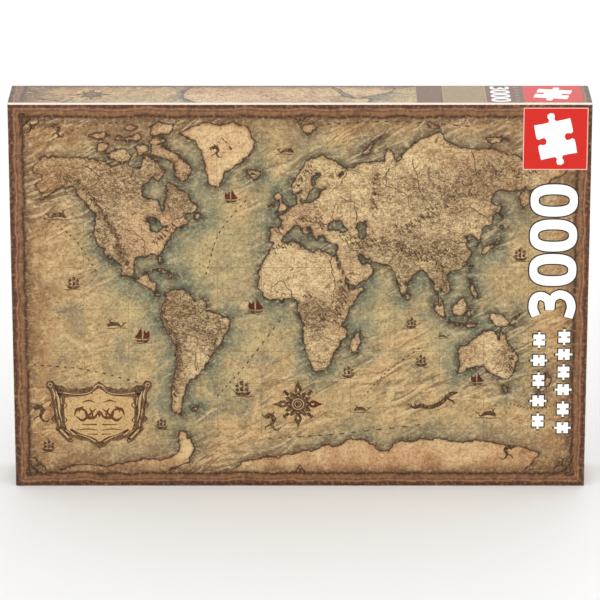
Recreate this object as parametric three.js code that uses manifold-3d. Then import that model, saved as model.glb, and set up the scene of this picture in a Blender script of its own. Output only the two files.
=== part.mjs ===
// Boxed jigsaw puzzle: a two-piece set-up box of paper-covered greyboard, standing on one
// long side with its printed panel towards -Y, and the puzzle's pieces in two film bags inside.
//
// The lid's hollow opens to +Y. The tray goes into it from behind and stands a little proud of
// its rim. Millimetres, +Z up; X = 0 and Y = 0 are the middle of the box, and Z = 0 is the
// surface that it stands on.

import * as THREE from "three";
import { mergeVertices } from "three/addons/utils/BufferGeometryUtils.js";
import Module from "manifold-3d";

// Driving dimensions of the box.
const LID_WIDTH = 430;
const LID_HEIGHT = 300;
const LID_DEPTH = 50;
const TRAY_SHOWS = 2; // how far the tray's floor stands out behind the lid's rim
const CORNER_RADIUS = 1.2;
const BOARD = 1.5;
const PAPER = 0.2;
const GLUE = 0.1; // glue line between board and paper on a panel, a rim and a turn-in
const WALL_GAP = 0.25; // the same between the walls and their paper, where the stays lie
const TURN_IN = 15; // covering paper folded over the rim, down the inside of the wall
const FIT = 0.85; // play between the lid's walls and the tray's, on each side
const RIM_PLAY = 1; // between the tray's rim and the inside of the lid's panel

// Corners: the walls butt with a seam, and a gummed paper stay holds each one.
const SEAM = 0.3;
const STAY = 0.15;
const STAY_GAP = 0.05;
const STAY_LEG = 14;
const STAY_END = 0.4; // bare board at both ends of a stay

// Film bags: flat in the middle, drawn in to their sealed edges.
const BAG_WIDTH = 204;
const BAG_HEIGHT = 256;
const BAG_THICKNESS = 44.6;
const BAG_GAP = 4; // between the two bags
const BAG_FLOOR_GAP = 0.5; // between a bag and the tray's wall under it
const BAG_Y = 0.5;
const BAG_STEPS = 12;
const BAG_SQUARENESS = 8; // exponent of the drawn-in edge: the higher, the squarer
const FILM = 0.3;
const SEAL = 0.5; // half thickness of the sealed edge
const VENT_RADIUS = 2.5;

// Pieces: the puzzle is 1200 x 850 mm in 3000 pieces, so a piece is about 18.4 mm square.
const PIECE_SIZE = 18.4;
const PIECE_BOARD = 2;
const PIECE_COLUMNS = 4;
const PIECE_ROWS = 5;
const PIECE_PITCH = 38;
const PIECE_SCATTER = 2.5;
const PIECE_FRONT_Y = -19.6;
const CONTENT_GAP = 0.3; // between loose things that lie on each other
const HEAP_TOP = 244;
const HEAP_SLOPE = 0.03; // radians that the settled pieces' top slopes by

// Leaflet: one sheet in four panels, folded like an accordion.
const LEAFLET_WIDTH = 210;
const LEAFLET_HEIGHT = 148;
const LEAFLET_PANELS = 4;
const LEAFLET_PAPER = 0.12;
const LEAFLET_PITCH = 0.26;
const LEAFLET_X = 12;

// Places that follow from them.
const FRONT = -(LID_DEPTH + TRAY_SHOWS) / 2;
const BACK = -FRONT;
const LID_RIM = FRONT + LID_DEPTH;
const MIDDLE_Z = LID_HEIGHT / 2;
const WALL = PAPER + WALL_GAP + BOARD;
const WALL_WITH_LIP = WALL + GLUE + PAPER;
const PANEL = PAPER + GLUE + BOARD;
const TRAY_INSET = WALL_WITH_LIP + FIT;
const TRAY_RIM = FRONT + PANEL + RIM_PLAY;
const TRAY_FLOOR_Z = TRAY_INSET + WALL_WITH_LIP; // inside of the wall that the contents stand on

// A half of the box: its outside size, the Y of its panel's outer face and the Y of its rim.
const LID = { width: LID_WIDTH, height: LID_HEIGHT, panelY: FRONT, rimY: LID_RIM };
const TRAY = {
  width: LID_WIDTH - 2 * TRAY_INSET,
  height: LID_HEIGHT - 2 * TRAY_INSET,
  panelY: BACK,
  rimY: TRAY_RIM,
};

const MATERIALS = {
  lidPaper: material(0xb8996b, 0.45),
  trayPaper: material(0x4a3323, 0.55),
  greyboard: material(0x9a9286, 0.9),
  stayPaper: material(0xb9a27c, 0.85),
  film: material(0xe4e8ea, 0.15),
  pieces: material(0xa9905f, 0.6),
  leafletPaper: material(0xf1efe8, 0.7),
};

const wasm = await Module();
wasm.setup();

function material(color, roughness) {
  return new THREE.MeshStandardMaterial({ color, roughness, metalness: 0 });
}

// A closed three.js geometry as a solid that can be cut and joined.
function solid(geometry) {
  const bare = geometry.clone();
  bare.deleteAttribute("normal");
  bare.deleteAttribute("uv");
  const merged = mergeVertices(bare, 1e-4);
  const vertProperties = new Float32Array(merged.attributes.position.array);
  const triVerts = new Uint32Array(merged.index.array);
  return new wasm.Manifold(new wasm.Mesh({ numProp: 3, vertProperties, triVerts }));
}

function geometryOf(cut) {
  const mesh = cut.getMesh();
  const geometry = new THREE.BufferGeometry();
  geometry.setAttribute("position", new THREE.BufferAttribute(mesh.vertProperties, 3));
  geometry.setIndex(new THREE.BufferAttribute(mesh.triVerts, 1));
  geometry.computeVertexNormals();
  return geometry;
}

function boxSolid(width, depth, height, x, y, z) {
  const geometry = new THREE.BoxGeometry(width, depth, height);
  geometry.translate(x, y, z);
  return solid(geometry);
}

// A rectangle centred on the origin, with round corners unless the radius is 0.
function roundedRectangle(width, height, radius) {
  const x = width / 2;
  const y = height / 2;
  if (radius === 0) {
    return new THREE.Shape(corners().map(([a, b]) => new THREE.Vector2(a * x, b * y)));
  }
  const shape = new THREE.Shape();
  shape.moveTo(x, radius - y);
  shape.absarc(x - radius, y - radius, radius, 0, Math.PI / 2);
  shape.absarc(radius - x, y - radius, radius, Math.PI / 2, Math.PI);
  shape.absarc(radius - x, radius - y, radius, Math.PI, 1.5 * Math.PI);
  shape.absarc(x - radius, radius - y, radius, 1.5 * Math.PI, 2 * Math.PI);
  return shape;
}

// A block of a box half's outline, shrunk by inset all round, between two Y values.
function block(half, inset, fromY, toY) {
  const radius = Math.max(CORNER_RADIUS - inset, 0);
  const outline = roundedRectangle(half.width - 2 * inset, half.height - 2 * inset, radius);
  const depth = Math.abs(toY - fromY);
  const geometry = new THREE.ExtrudeGeometry(outline, {
    depth,
    bevelEnabled: false,
    curveSegments: 3,
  });
  geometry.rotateX(Math.PI / 2); // the outline's y becomes Z, and the extrusion runs to -Y
  geometry.translate(0, Math.max(fromY, toY), MIDDLE_Z);
  return solid(geometry);
}

// Covering paper: over the panel and the walls, round the rim and down inside it.
function coverPaper(half) {
  const inwards = Math.sign(half.rimY - half.panelY);
  const rimInside = half.rimY - inwards * PAPER;
  const outside = block(half, 0, half.panelY, half.rimY);
  const hollow = block(half, PAPER, half.panelY + inwards * PAPER, rimInside);
  const mouth = block(half, WALL_WITH_LIP, half.rimY - inwards * TURN_IN, half.rimY + inwards);
  const lipFrom = half.rimY - inwards * TURN_IN;
  const lipTo = half.rimY - (inwards * PAPER) / 2;
  const lip = block(half, WALL + GLUE, lipFrom, lipTo).subtract(mouth);
  return outside.subtract(hollow).subtract(mouth).add(lip);
}

// Greyboard blank: a panel with four walls folded up, which butt at the corners.
function boardBlank(half) {
  const inwards = Math.sign(half.rimY - half.panelY);
  const panelFace = half.panelY + inwards * (PAPER + GLUE);
  const panelInside = panelFace + inwards * BOARD;
  const rimFace = half.rimY - inwards * (PAPER + GLUE);
  const inset = PAPER + WALL_GAP;
  const hollow = block(half, WALL, panelInside, rimFace + inwards);
  let board = block(half, inset, panelFace, rimFace).subtract(hollow);
  const seamX = half.width / 2 - inset - BOARD / 2;
  const seamZ = half.height / 2 - WALL - SEAM / 2;
  const seamY = (panelInside + rimFace + inwards) / 2;
  const seamDepth = Math.abs(rimFace + inwards - panelInside);
  for (const [sideX, sideZ] of corners()) {
    const place = [sideX * seamX, seamY, MIDDLE_Z + sideZ * seamZ];
    board = board.subtract(boxSolid(BOARD + 1, seamDepth, SEAM, ...place));
  }
  return board;
}

function corners() {
  return [
    [-1, -1],
    [1, -1],
    [1, 1],
    [-1, 1],
  ];
}

// Corner stay: a strip of gummed paper folded round one corner, between board and covering.
function cornerStay(half, sideX, sideZ) {
  const inwards = Math.sign(half.rimY - half.panelY);
  const end = PAPER + GLUE + STAY_END;
  const fromY = half.panelY + inwards * end;
  const toY = half.rimY - inwards * end;
  const inset = PAPER + STAY_GAP;
  const band = block(half, inset, fromY, toY).subtract(
    block(half, inset + STAY, fromY - inwards, toY + inwards),
  );
  const x = sideX * (half.width / 2 - STAY_LEG / 2);
  const z = MIDDLE_Z + sideZ * (half.height / 2 - STAY_LEG / 2);
  return band.intersect(boxSolid(STAY_LEG, LID_DEPTH * 2, STAY_LEG, x, 0, z));
}

// A bag's half thickness at u, v from -1 to 1 across it: full in the middle, nothing at the edge.
function bagFullness(u, v) {
  const across = Math.sqrt(Math.max(0, 1 - Math.abs(u) ** BAG_SQUARENESS));
  const along = Math.sqrt(Math.max(0, 1 - Math.abs(v) ** BAG_SQUARENESS));
  return across * along;
}

// The bag's outer form, or one that lies inside it by margin at its edges and skin in thickness.
function pillow(margin, skin) {
  const geometry = new THREE.BoxGeometry(2, 2, 2, BAG_STEPS, 1, BAG_STEPS);
  const position = geometry.attributes.position;
  for (let i = 0; i < position.count; i += 1) {
    const u = Math.sin((position.getX(i) * Math.PI) / 2);
    const v = Math.sin((position.getZ(i) * Math.PI) / 2);
    const half = SEAL + (BAG_THICKNESS / 2 - SEAL) * bagFullness(u, v) - skin;
    const x = u * (BAG_WIDTH / 2 - margin);
    const z = v * (BAG_HEIGHT / 2 - margin);
    position.setXYZ(i, x, Math.sign(position.getY(i)) * half, z);
  }
  return geometry;
}

const BAG_Z = TRAY_FLOOR_Z + BAG_FLOOR_GAP + BAG_HEIGHT / 2;

function pillowSolid(bagX, margin, skin) {
  const geometry = pillow(margin, skin);
  geometry.translate(bagX, BAG_Y, BAG_Z);
  return solid(geometry);
}

// Bag: a film skin with a vent punched through its front near the top seal.
function filmBag(bagX) {
  const vent = new THREE.CylinderGeometry(VENT_RADIUS, VENT_RADIUS, BAG_THICKNESS, 12);
  const ventZ = BAG_Z + BAG_HEIGHT / 2 - 20;
  vent.translate(bagX, BAG_Y - BAG_THICKNESS / 2, ventZ);
  const skin = pillowSolid(bagX, 0, 0).subtract(pillowSolid(bagX, 4 * FILM, FILM));
  return skin.subtract(solid(vent));
}

// Heap: the bulk of a bag's pieces, settled to a gentle slope, behind the modelled front pieces.
function heap(bagX, slope) {
  const body = pillowSolid(bagX, 4 * FILM + 3 * CONTENT_GAP, FILM + 0.05);
  const cutY = PIECE_FRONT_Y + PIECE_BOARD + CONTENT_GAP;
  const keep = new THREE.BoxGeometry(BAG_WIDTH * 2, BAG_THICKNESS * 2, BAG_HEIGHT * 2);
  keep.translate(0, cutY + BAG_THICKNESS, -BAG_HEIGHT);
  keep.rotateY(slope);
  keep.translate(bagX, 0, HEAP_TOP);
  return body.intersect(solid(keep));
}

// One side of a piece, from its start corner to its end corner. The knob is 1 for a tab,
// -1 for a blank, and 0 for a straight edge of the puzzle.
function pieceSide(shape, from, to, knob) {
  if (knob === 0) {
    shape.lineTo(to.x, to.y);
    return;
  }
  const along = to.clone().sub(from);
  const out = new THREE.Vector2(along.y, -along.x).multiplyScalar(knob);
  const at = (a, b) => {
    const point = from.clone().addScaledVector(along, a).addScaledVector(out, b);
    return [point.x, point.y];
  };
  shape.bezierCurveTo(...at(0.25, 0), ...at(0.47, -0.05), ...at(0.43, 0.06));
  shape.bezierCurveTo(...at(0.4, 0.11), ...at(0.35, 0.25), ...at(0.5, 0.25));
  shape.bezierCurveTo(...at(0.65, 0.25), ...at(0.6, 0.11), ...at(0.57, 0.06));
  shape.bezierCurveTo(...at(0.53, -0.05), ...at(0.75, 0), ...at(1, 0));
}

// A die-cut piece, its face towards -Y, centred on its own origin.
function pieceGeometry(knobs) {
  const half = PIECE_SIZE / 2;
  const turn = corners().map(([x, y]) => new THREE.Vector2(x * half, y * half));
  const shape = new THREE.Shape();
  shape.moveTo(turn[0].x, turn[0].y);
  knobs.forEach((knob, i) => pieceSide(shape, turn[i], turn[(i + 1) % 4], knob));
  const geometry = new THREE.ExtrudeGeometry(shape, {
    depth: PIECE_BOARD,
    bevelEnabled: false,
    curveSegments: 2,
  });
  geometry.rotateX(Math.PI / 2);
  geometry.translate(0, PIECE_BOARD / 2, 0);
  return geometry;
}

// Leaflet: panels joined alternately at the top and at the bottom.
function leafletSolid() {
  const bottom = TRAY_FLOOR_Z + BAG_FLOOR_GAP;
  const thickness = (LEAFLET_PANELS - 1) * LEAFLET_PITCH + LEAFLET_PAPER;
  const room = { from: FRONT + PANEL, to: BAG_Y - BAG_THICKNESS / 2 };
  const firstY = (room.from + room.to - thickness + LEAFLET_PAPER) / 2;
  const middleZ = bottom + LEAFLET_HEIGHT / 2;
  let sheet = null;
  for (let i = 0; i < LEAFLET_PANELS; i += 1) {
    const y = firstY + i * LEAFLET_PITCH;
    const panel = boxSolid(LEAFLET_WIDTH, LEAFLET_PAPER, LEAFLET_HEIGHT, LEAFLET_X, y, middleZ);
    sheet = sheet ? sheet.add(panel) : panel;
    if (i === LEAFLET_PANELS - 1) break;
    const upOrDown = i % 2 === 0 ? 1 : -1;
    const foldZ = middleZ + (upOrDown * (LEAFLET_HEIGHT - LEAFLET_PAPER)) / 2;
    const foldDepth = LEAFLET_PITCH + LEAFLET_PAPER;
    const foldY = y + LEAFLET_PITCH / 2;
    sheet = sheet.add(
      boxSolid(LEAFLET_WIDTH, foldDepth, LEAFLET_PAPER, LEAFLET_X, foldY, foldZ),
    );
  }
  return sheet;
}

// Repeatable scatter: the fractional part of a large sine.
function scatter(seed) {
  const value = Math.sin(seed * 12.9898 + 4.1414) * 43758.5453;
  return (value - Math.floor(value)) * 2 - 1;
}

const part = new THREE.Group();

function addMesh(name, geometry, finish) {
  const mesh = new THREE.Mesh(geometry, finish);
  mesh.name = name;
  part.add(mesh);
  return mesh;
}

function addBoxHalf(name, half, paper) {
  addMesh(`${name}_board`, geometryOf(boardBlank(half)), MATERIALS.greyboard);
  addMesh(`${name}_wrap`, geometryOf(coverPaper(half)), paper);
  corners().forEach(([sideX, sideZ], i) => {
    const stay = cornerStay(half, sideX, sideZ);
    addMesh(`${name}_corner_stay_${i + 1}`, geometryOf(stay), MATERIALS.stayPaper);
  });
}

// Kinds of piece: inner ones, puzzle-edge ones and a corner.
const KINDS = [
  [1, -1, 1, -1],
  [1, 1, -1, -1],
  [-1, 1, 1, 1],
  [0, 1, -1, 1],
  [1, -1, -1, -1],
  [-1, -1, 1, 1],
  [0, 0, 1, -1],
];

function addFrontPieces(name, bagX, seed) {
  for (let i = 0; i < PIECE_COLUMNS * PIECE_ROWS; i += 1) {
    const column = (i % PIECE_COLUMNS) - (PIECE_COLUMNS - 1) / 2;
    const row = Math.floor(i / PIECE_COLUMNS) - (PIECE_ROWS - 1) / 2;
    const number = String(i + 1).padStart(2, "0");
    const kind = KINDS[(i * 3 + seed) % KINDS.length];
    const piece = addMesh(`piece_${name}_${number}`, pieceGeometry(kind), MATERIALS.pieces);
    const x = column * PIECE_PITCH + PIECE_SCATTER * scatter(seed + i);
    const z = row * PIECE_PITCH + PIECE_SCATTER * scatter(seed + i + 0.5);
    piece.position.set(bagX + x, PIECE_FRONT_Y + PIECE_BOARD / 2, BAG_Z + z);
    piece.rotation.y = Math.PI * scatter(seed + i + 0.25);
  }
}

function addBag(name, side, seed) {
  const bagX = (side * (BAG_WIDTH + BAG_GAP)) / 2;
  addMesh(`bag_${name}`, geometryOf(filmBag(bagX)), MATERIALS.film);
  addMesh(`heap_${name}`, geometryOf(heap(bagX, side * HEAP_SLOPE)), MATERIALS.pieces);
  addFrontPieces(name, bagX, seed);
}

addBoxHalf("lid", LID, MATERIALS.lidPaper);
addBoxHalf("tray", TRAY, MATERIALS.trayPaper);
addBag("left", -1, 100);
addBag("right", 1, 201);
addMesh("leaflet", geometryOf(leafletSolid()), MATERIALS.leafletPaper);

export default part;
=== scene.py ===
import math

import bmesh
import bpy
import numpy as np
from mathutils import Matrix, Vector


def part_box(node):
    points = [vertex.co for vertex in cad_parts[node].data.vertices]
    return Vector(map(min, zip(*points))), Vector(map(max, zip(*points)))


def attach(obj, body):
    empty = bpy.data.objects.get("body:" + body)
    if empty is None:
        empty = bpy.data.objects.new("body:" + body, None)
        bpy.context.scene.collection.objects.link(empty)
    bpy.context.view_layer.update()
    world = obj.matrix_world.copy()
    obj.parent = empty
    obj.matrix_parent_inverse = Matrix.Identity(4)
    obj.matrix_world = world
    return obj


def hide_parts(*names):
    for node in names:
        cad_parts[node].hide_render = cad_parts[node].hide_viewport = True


# Boxed jigsaw puzzle. The CAD frame gives every size and place; here the printed papers, the
# printing on them, the film bags and the loose pieces are made and given their finishes.
# Lengths are millimetres until a mesh is made, and metres from there on.

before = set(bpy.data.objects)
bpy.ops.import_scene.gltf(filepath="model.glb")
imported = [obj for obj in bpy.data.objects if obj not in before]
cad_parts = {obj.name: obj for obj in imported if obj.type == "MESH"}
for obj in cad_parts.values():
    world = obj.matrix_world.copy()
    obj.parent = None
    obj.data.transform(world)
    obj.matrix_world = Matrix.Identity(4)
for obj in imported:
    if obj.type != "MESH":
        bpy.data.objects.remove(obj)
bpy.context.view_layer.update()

MM = 0.001
INK = 0.05  # how far a printed shape of level 1 stands off its paper, so that it shows
LAYER = 0.1  # levels between the tops of shapes of one ink that may cross
LAYERS = 7  # after which these small steps start again
FOLD_RADIUS = 0.75  # of the papered board at every fold and corner
FOLD_STEPS = 3  # straight steps of the arc round a fold
CELL = 2.2  # width of a cell of the printed sheets
PAPER = 0.2  # thickness of the covering papers
LIP = 2.25  # from the outside of a wall to the inside of its turned-in paper
LIP_ROUND = 0.4  # size of the two rounded corners of the paper's turn over the rim
LIP_MIDDLE = 0.12  # from their middle points to the sides that they join
TURN_IN = 15  # from the rim to the end of the turned-in paper
WELD = 1e-6  # metres within which points of a seam are one point


def corners_mm(node_name):
    """Lowest and highest corner of a CAD node, in millimetres."""
    low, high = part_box(node_name)
    return np.array(low) / MM, np.array(high) / MM


LID_LOW, LID_HIGH = corners_mm("lid_wrap")
TRAY_LOW, TRAY_HIGH = corners_mm("tray_wrap")
LID_WIDTH, LID_DEPTH, LID_HEIGHT = LID_HIGH - LID_LOW
TRAY_WIDTH, _, TRAY_HEIGHT = TRAY_HIGH - TRAY_LOW
MIDDLE_Z = LID_HEIGHT / 2


# ---------------------------------------------------------------- small tools


def linear(hex_colour):
    """sRGB hex colour as linear RGBA."""
    parts = [int(hex_colour[i : i + 2], 16) / 255 for i in (1, 3, 5)]
    return [c / 12.92 if c <= 0.04045 else ((c + 0.055) / 1.055) ** 2.4 for c in parts] + [1]


def node(tree, kind, inputs=None, out=0, stops=None, **settings):
    """Adds a node and gives back one of its outputs, or the node if out is None. inputs maps a
    socket's name or number to a value or a socket, and stops are a ramp's places and colours."""
    made = tree.nodes.new(kind)
    for key, value in settings.items():
        setattr(made, key, value)
    for key, value in (inputs or {}).items():
        if isinstance(value, bpy.types.NodeSocket):
            tree.links.new(value, made.inputs[key])
        else:
            made.inputs[key].default_value = value
    if stops:
        points = made.color_ramp.elements
        while len(points) < len(stops):
            points.new(1)
        for point, (place, colour) in zip(points, stops):
            point.position = place
            point.color = linear(colour)
    return made if out is None else made.outputs[out]


def finish_piece(name, mesh, material, body, smooth=True):
    """Puts a mesh in the scene as a piece that rides on a body, with its finish."""
    piece = bpy.data.objects.new(name, mesh)
    bpy.context.scene.collection.objects.link(piece)
    mesh.materials.append(material)
    mesh.polygons.foreach_set("use_smooth", np.full(len(mesh.polygons), smooth))
    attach(piece, body)
    return piece


def mesh_of(name, points, faces, attributes=None):
    """A mesh from points in millimetres and lists of corners, with one float per point."""
    mesh = bpy.data.meshes.new(name)
    mesh.from_pydata(np.asarray(points) * MM, [], faces)
    for key, values in (attributes or {}).items():
        layer = mesh.attributes.new(key, "FLOAT", "POINT")
        layer.data.foreach_set("value", np.ascontiguousarray(values, dtype=np.float32))
    mesh.update()
    return mesh


def weld(mesh, outward=False):
    """Merges points that lie on each other, which closes seams and poles, and turns the faces
    of closed shells outwards if asked."""
    work = bmesh.new()
    work.from_mesh(mesh)
    bmesh.ops.remove_doubles(work, verts=work.verts, dist=WELD)
    bmesh.ops.dissolve_degenerate(work, edges=work.edges, dist=WELD)
    if outward:
        bmesh.ops.recalc_face_normals(work, faces=work.faces)
    work.to_mesh(mesh)
    work.free()


# ---------------------------------------------------------------- the world map

# Shores as longitude and latitude, in degrees, drawn freely with few points: the print's
# ragged coast is added in its material.
LANDS = [
    # North America
    [(-168, 66), (-163, 70), (-156, 71), (-141, 70), (-128, 70), (-115, 68), (-108, 68), (-95, 67),
     (-94, 72), (-85, 69), (-82, 67), (-87, 64), (-94, 60), (-93, 57), (-87, 56), (-82, 55),
     (-80, 51), (-79, 54), (-77, 57), (-78, 62), (-73, 62), (-69, 59), (-65, 58), (-61, 55),
     (-56, 52), (-60, 50), (-66, 50), (-65, 48), (-61, 46), (-66, 44), (-70, 43), (-74, 40),
     (-76, 35), (-81, 31), (-80, 26), (-82, 28), (-84, 30), (-90, 29), (-95, 29), (-97, 26),
     (-97, 22), (-95, 18), (-91, 19), (-90, 21), (-87, 21), (-88, 16), (-83, 15), (-83, 10),
     (-80, 9), (-77, 8), (-79, 7), (-83, 8), (-86, 12), (-92, 14), (-96, 16), (-105, 20),
     (-107, 24), (-112, 29), (-114, 31), (-110, 24), (-115, 28), (-117, 33), (-121, 35),
     (-124, 40), (-124, 46), (-123, 49), (-128, 51), (-133, 56), (-140, 60), (-148, 60),
     (-152, 59), (-158, 56), (-164, 55), (-158, 58), (-162, 59), (-165, 61), (-161, 64),
     (-166, 65)],
    # South America
    [(-77, 8), (-72, 12), (-67, 11), (-62, 10), (-57, 6), (-51, 4), (-50, 0), (-44, -2), (-38, -4),
     (-35, -6), (-35, -9), (-39, -14), (-40, -20), (-45, -23), (-48, -27), (-53, -33),
     (-57, -36), (-58, -38), (-62, -39), (-65, -42), (-66, -46), (-69, -51), (-67, -55),
     (-71, -54), (-75, -51), (-74, -45), (-73, -39), (-71, -32), (-70, -20), (-76, -14),
     (-80, -7), (-81, -4), (-80, 1), (-77, 4)],
    # Greenland
    [(-70, 77.4), (-62, 79), (-50, 79.8), (-36, 79.6), (-24, 78.6), (-19, 75), (-23, 71),
     (-31, 68), (-38, 66), (-43, 60), (-49, 62), (-53, 67), (-54, 71), (-59, 75)],
    # Africa
    [(-6, 36), (3, 37), (10, 37), (11, 34), (19, 31), (22, 33), (31, 31), (34, 29), (37, 21),
     (40, 15), (43, 12), (51, 12), (47, 5), (41, -2), (39, -7), (41, -15), (35, -21), (33, -27),
     (28, -33), (20, -35), (17, -30), (14, -22), (12, -16), (13, -9), (9, -1), (9, 4), (4, 6),
     (-4, 5), (-8, 4), (-13, 8), (-17, 13), (-17, 20), (-13, 27), (-9, 32)],
    # Europe and Asia
    [(-9, 37), (-9, 43), (-1, 44), (-1, 47), (-5, 48), (2, 51), (8, 54), (8, 57), (11, 57),
     (11, 54), (19, 54), (24, 58), (29, 60), (23, 60), (21, 62), (25, 65), (22, 66), (17, 61),
     (19, 60), (16, 57), (13, 55), (11, 59), (6, 58), (5, 62), (12, 67), (18, 70), (26, 71),
     (32, 70), (41, 67), (37, 64), (44, 67), (54, 69), (60, 69), (68, 69), (68, 73), (73, 72),
     (74, 68), (80, 72), (88, 75), (104, 77.5), (113, 74), (127, 73), (140, 73), (152, 71),
     (161, 70), (170, 70), (179, 69), (190, 66), (178, 63), (170, 60), (163, 59), (162, 55),
     (157, 51), (156, 56), (160, 60), (155, 59), (143, 59), (136, 55), (141, 52), (136, 45),
     (130, 43), (128, 39), (129, 36), (126, 35), (126, 38), (122, 40), (118, 39), (122, 37),
     (119, 35), (122, 31), (119, 25), (113, 22), (108, 21), (106, 19), (109, 13), (107, 10),
     (105, 9), (101, 13), (100, 9), (103, 5), (104, 1), (100, 5), (98, 9), (98, 15), (94, 17),
     (91, 22), (87, 21), (80, 15), (80, 10), (77, 8), (73, 17), (72, 21), (67, 25), (57, 27),
     (50, 30), (48, 30), (51, 25), (56, 26), (59, 23), (55, 17), (45, 13), (43, 13), (39, 21),
     (35, 28), (34, 31), (36, 36), (31, 36), (27, 37), (26, 40), (23, 40), (24, 38), (22, 37),
     (19, 41), (14, 45), (13, 44), (18, 40), (16, 38), (15, 40), (10, 44), (4, 43), (3, 42),
     (0, 39), (-2, 37), (-6, 36)],
    # Australia
    [(114, -22), (122, -18), (130, -12), (136, -12), (140, -17), (142, -11), (146, -19),
     (153, -26), (152, -33), (147, -38), (141, -38), (136, -34), (131, -31), (124, -33),
     (115, -35), (115, -30)],
    # Antarctica
    [(-154, -74), (-140, -72.4), (-122, -73), (-105, -71.6), (-90, -71), (-79, -70.6),
     (-72, -68.6), (-71, -65.6), (-73, -62.6), (-68, -60.5), (-63, -64), (-61, -68), (-65, -71.4),
     (-73, -73.4), (-86, -74.6), (-80, -79), (-45, -79), (-36, -74.5), (-27, -71.5),
     (-18, -70.2), (-4, -70), (9, -68.2), (18, -68), (27, -66), (36, -66), (45, -63.6),
     (56, -64.6), (64, -67), (71, -68.6), (74, -65.5), (88, -64.4), (103, -63.6), (118, -65),
     (133, -64.4), (150, -66), (163, -66.4), (174, -68.6), (171, -72), (163, -75), (160, -79),
     (-150, -79)],
    # Islands
    [(-89, 73.4), (-80, 73.6), (-72, 71.6), (-66, 69), (-61, 66.4), (-64, 63), (-69, 62.6),
     (-73, 65), (-73, 68.4), (-79, 70), (-87, 70.8)],
    [(-118, 71.2), (-114, 73), (-106, 73), (-102, 71), (-103, 69.4), (-115, 69.4)],
    [(-90, 76.8), (-91, 79), (-84, 80), (-74, 79.8), (-74, 78.2), (-80, 76.6)],
    [(-126, 72), (-124, 74.6), (-117, 74.4), (-119.5, 71.8)],
    [(-114, 75.4), (-112, 77), (-104, 76.6), (-97, 77.2), (-95, 75.4), (-105, 75)],
    [(-99, 73.6), (-93, 74.4), (-91, 72.4), (-97, 71)],
    [(-130, 76.6), (-120, 77.8), (-116, 76.2), (-124, 75.8)],
    [(-111, 78.2), (-104, 79.4), (-98, 79), (-101, 77.9)],
    [(-91, 74.4), (-89, 76), (-80, 75.8), (-79, 74.6)],
    [(-59.4, 48), (-56.4, 51), (-52.6, 47.6), (-56, 46.4)],
    [(94, 79.2), (98, 80), (105, 79), (100, 78.4)],
    [(137, 75.6), (148, 76.4), (151, 75.2), (140, 74.6)],
    [(116, -8), (126, -8), (124, -10.4), (118, -9.6)],
    [(119.6, 22.4), (121.2, 25.6), (122.6, 24.6), (121, 21.6)],
    [(147.6, -5.8), (153, -3.4), (152, -6.4)],
    [(-62, -51), (-57, -51), (-59, -53)],
    [(-87, 66), (-80, 66), (-82, 62), (-86, 63)],
    [(-5, 50), (1, 51), (1, 53), (-2, 56), (-3, 59), (-6, 57), (-3, 54), (-5, 52)],
    [(-10, 52), (-6, 52), (-6, 55), (-9, 54)],
    [(-24, 66), (-16, 66), (-14, 65), (-19, 63), (-23, 64)],
    [(49, -12), (50, -16), (47, -25), (44, -23), (44, -17)],
    [(80, 9), (82, 7), (80, 6)],
    [(95, 6), (104, -2), (106, -6), (101, -3)],
    [(105, -6), (114, -7), (114, -9), (107, -8)],
    [(109, 2), (117, 7), (118, 2), (116, -4), (110, -3)],
    [(120, 1), (124, 1), (121, -1), (122, -5), (120, -5), (119, -2)],
    [(131, -1), (141, -3), (150, -10), (142, -9), (138, -8), (133, -4)],
    [(120, 18), (122, 18), (126, 8), (123, 6), (121, 13)],
    [(130, 31), (131, 34), (137, 36), (140, 38), (141, 42), (145, 43), (142, 46), (140, 42),
     (142, 39), (140, 35), (135, 33)],
    [(142, 46), (143, 54), (145, 49)],
    [(145, -41), (148, -41), (147, -44)],
    [(173, -35), (178, -38), (174, -41), (171, -44), (167, -46), (170, -43), (173, -40)],
    [(-85, 22), (-80, 23), (-74, 20), (-78, 20)],
    [(-74, 20), (-68, 19), (-71, 18), (-74, 18)],
    [(52, 71), (58, 75), (68, 77), (60, 74), (56, 71)],
    [(12, 79), (20, 80), (24, 79), (17, 77)],
]
# Inland seas and lakes
WATERS = [
    [(28, 42), (30, 46), (37, 47), (41, 42), (35, 42)],
    [(47, 45), (53, 46), (54, 41), (54, 37), (49, 38), (50, 41)],
    [(-92, 47), (-85, 48), (-80, 44), (-76, 44), (-83, 42), (-87, 42), (-87, 46)],
]
ICE = (2, 6)  # places of Greenland and Antarctica in LANDS: left bare, without hills
# High and crowded ground: longitude, latitude, its spread along both in degrees, and how dark
HILLS = [(-117, 47, 6, 13, 0.8), (-106, 28, 5, 9, 0.8), (-150, 64, 18, 6, 1),
         (-95, 63, 32, 8, 1), (-70, 55, 10, 6, 0.8), (-70, -18, 6, 26, 1),
         (-60, -4, 15, 12, 1.1), (-46, -14, 9, 9, 0.7),
         (20, -3, 14, 9, 1), (38, 8, 6, 8, 0.6), (26, -22, 10, 9, 0.15), (18, 49, 22, 7, 0.2),
         (15, 63, 8, 7, 0.4), (60, 60, 6, 10, 0.6), (55, 33, 12, 6, 0.6), (86, 34, 20, 7, 0.9),
         (104, 58, 34, 9, 0.7), (143, 64, 22, 7, 1), (110, 28, 12, 9, 0.7), (102, 17, 7, 8, 0.7),
         (78, 22, 8, 8, 0.5), (146, -28, 6, 10, 0.6), (126, -26, 8, 6, 0.2)]

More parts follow.
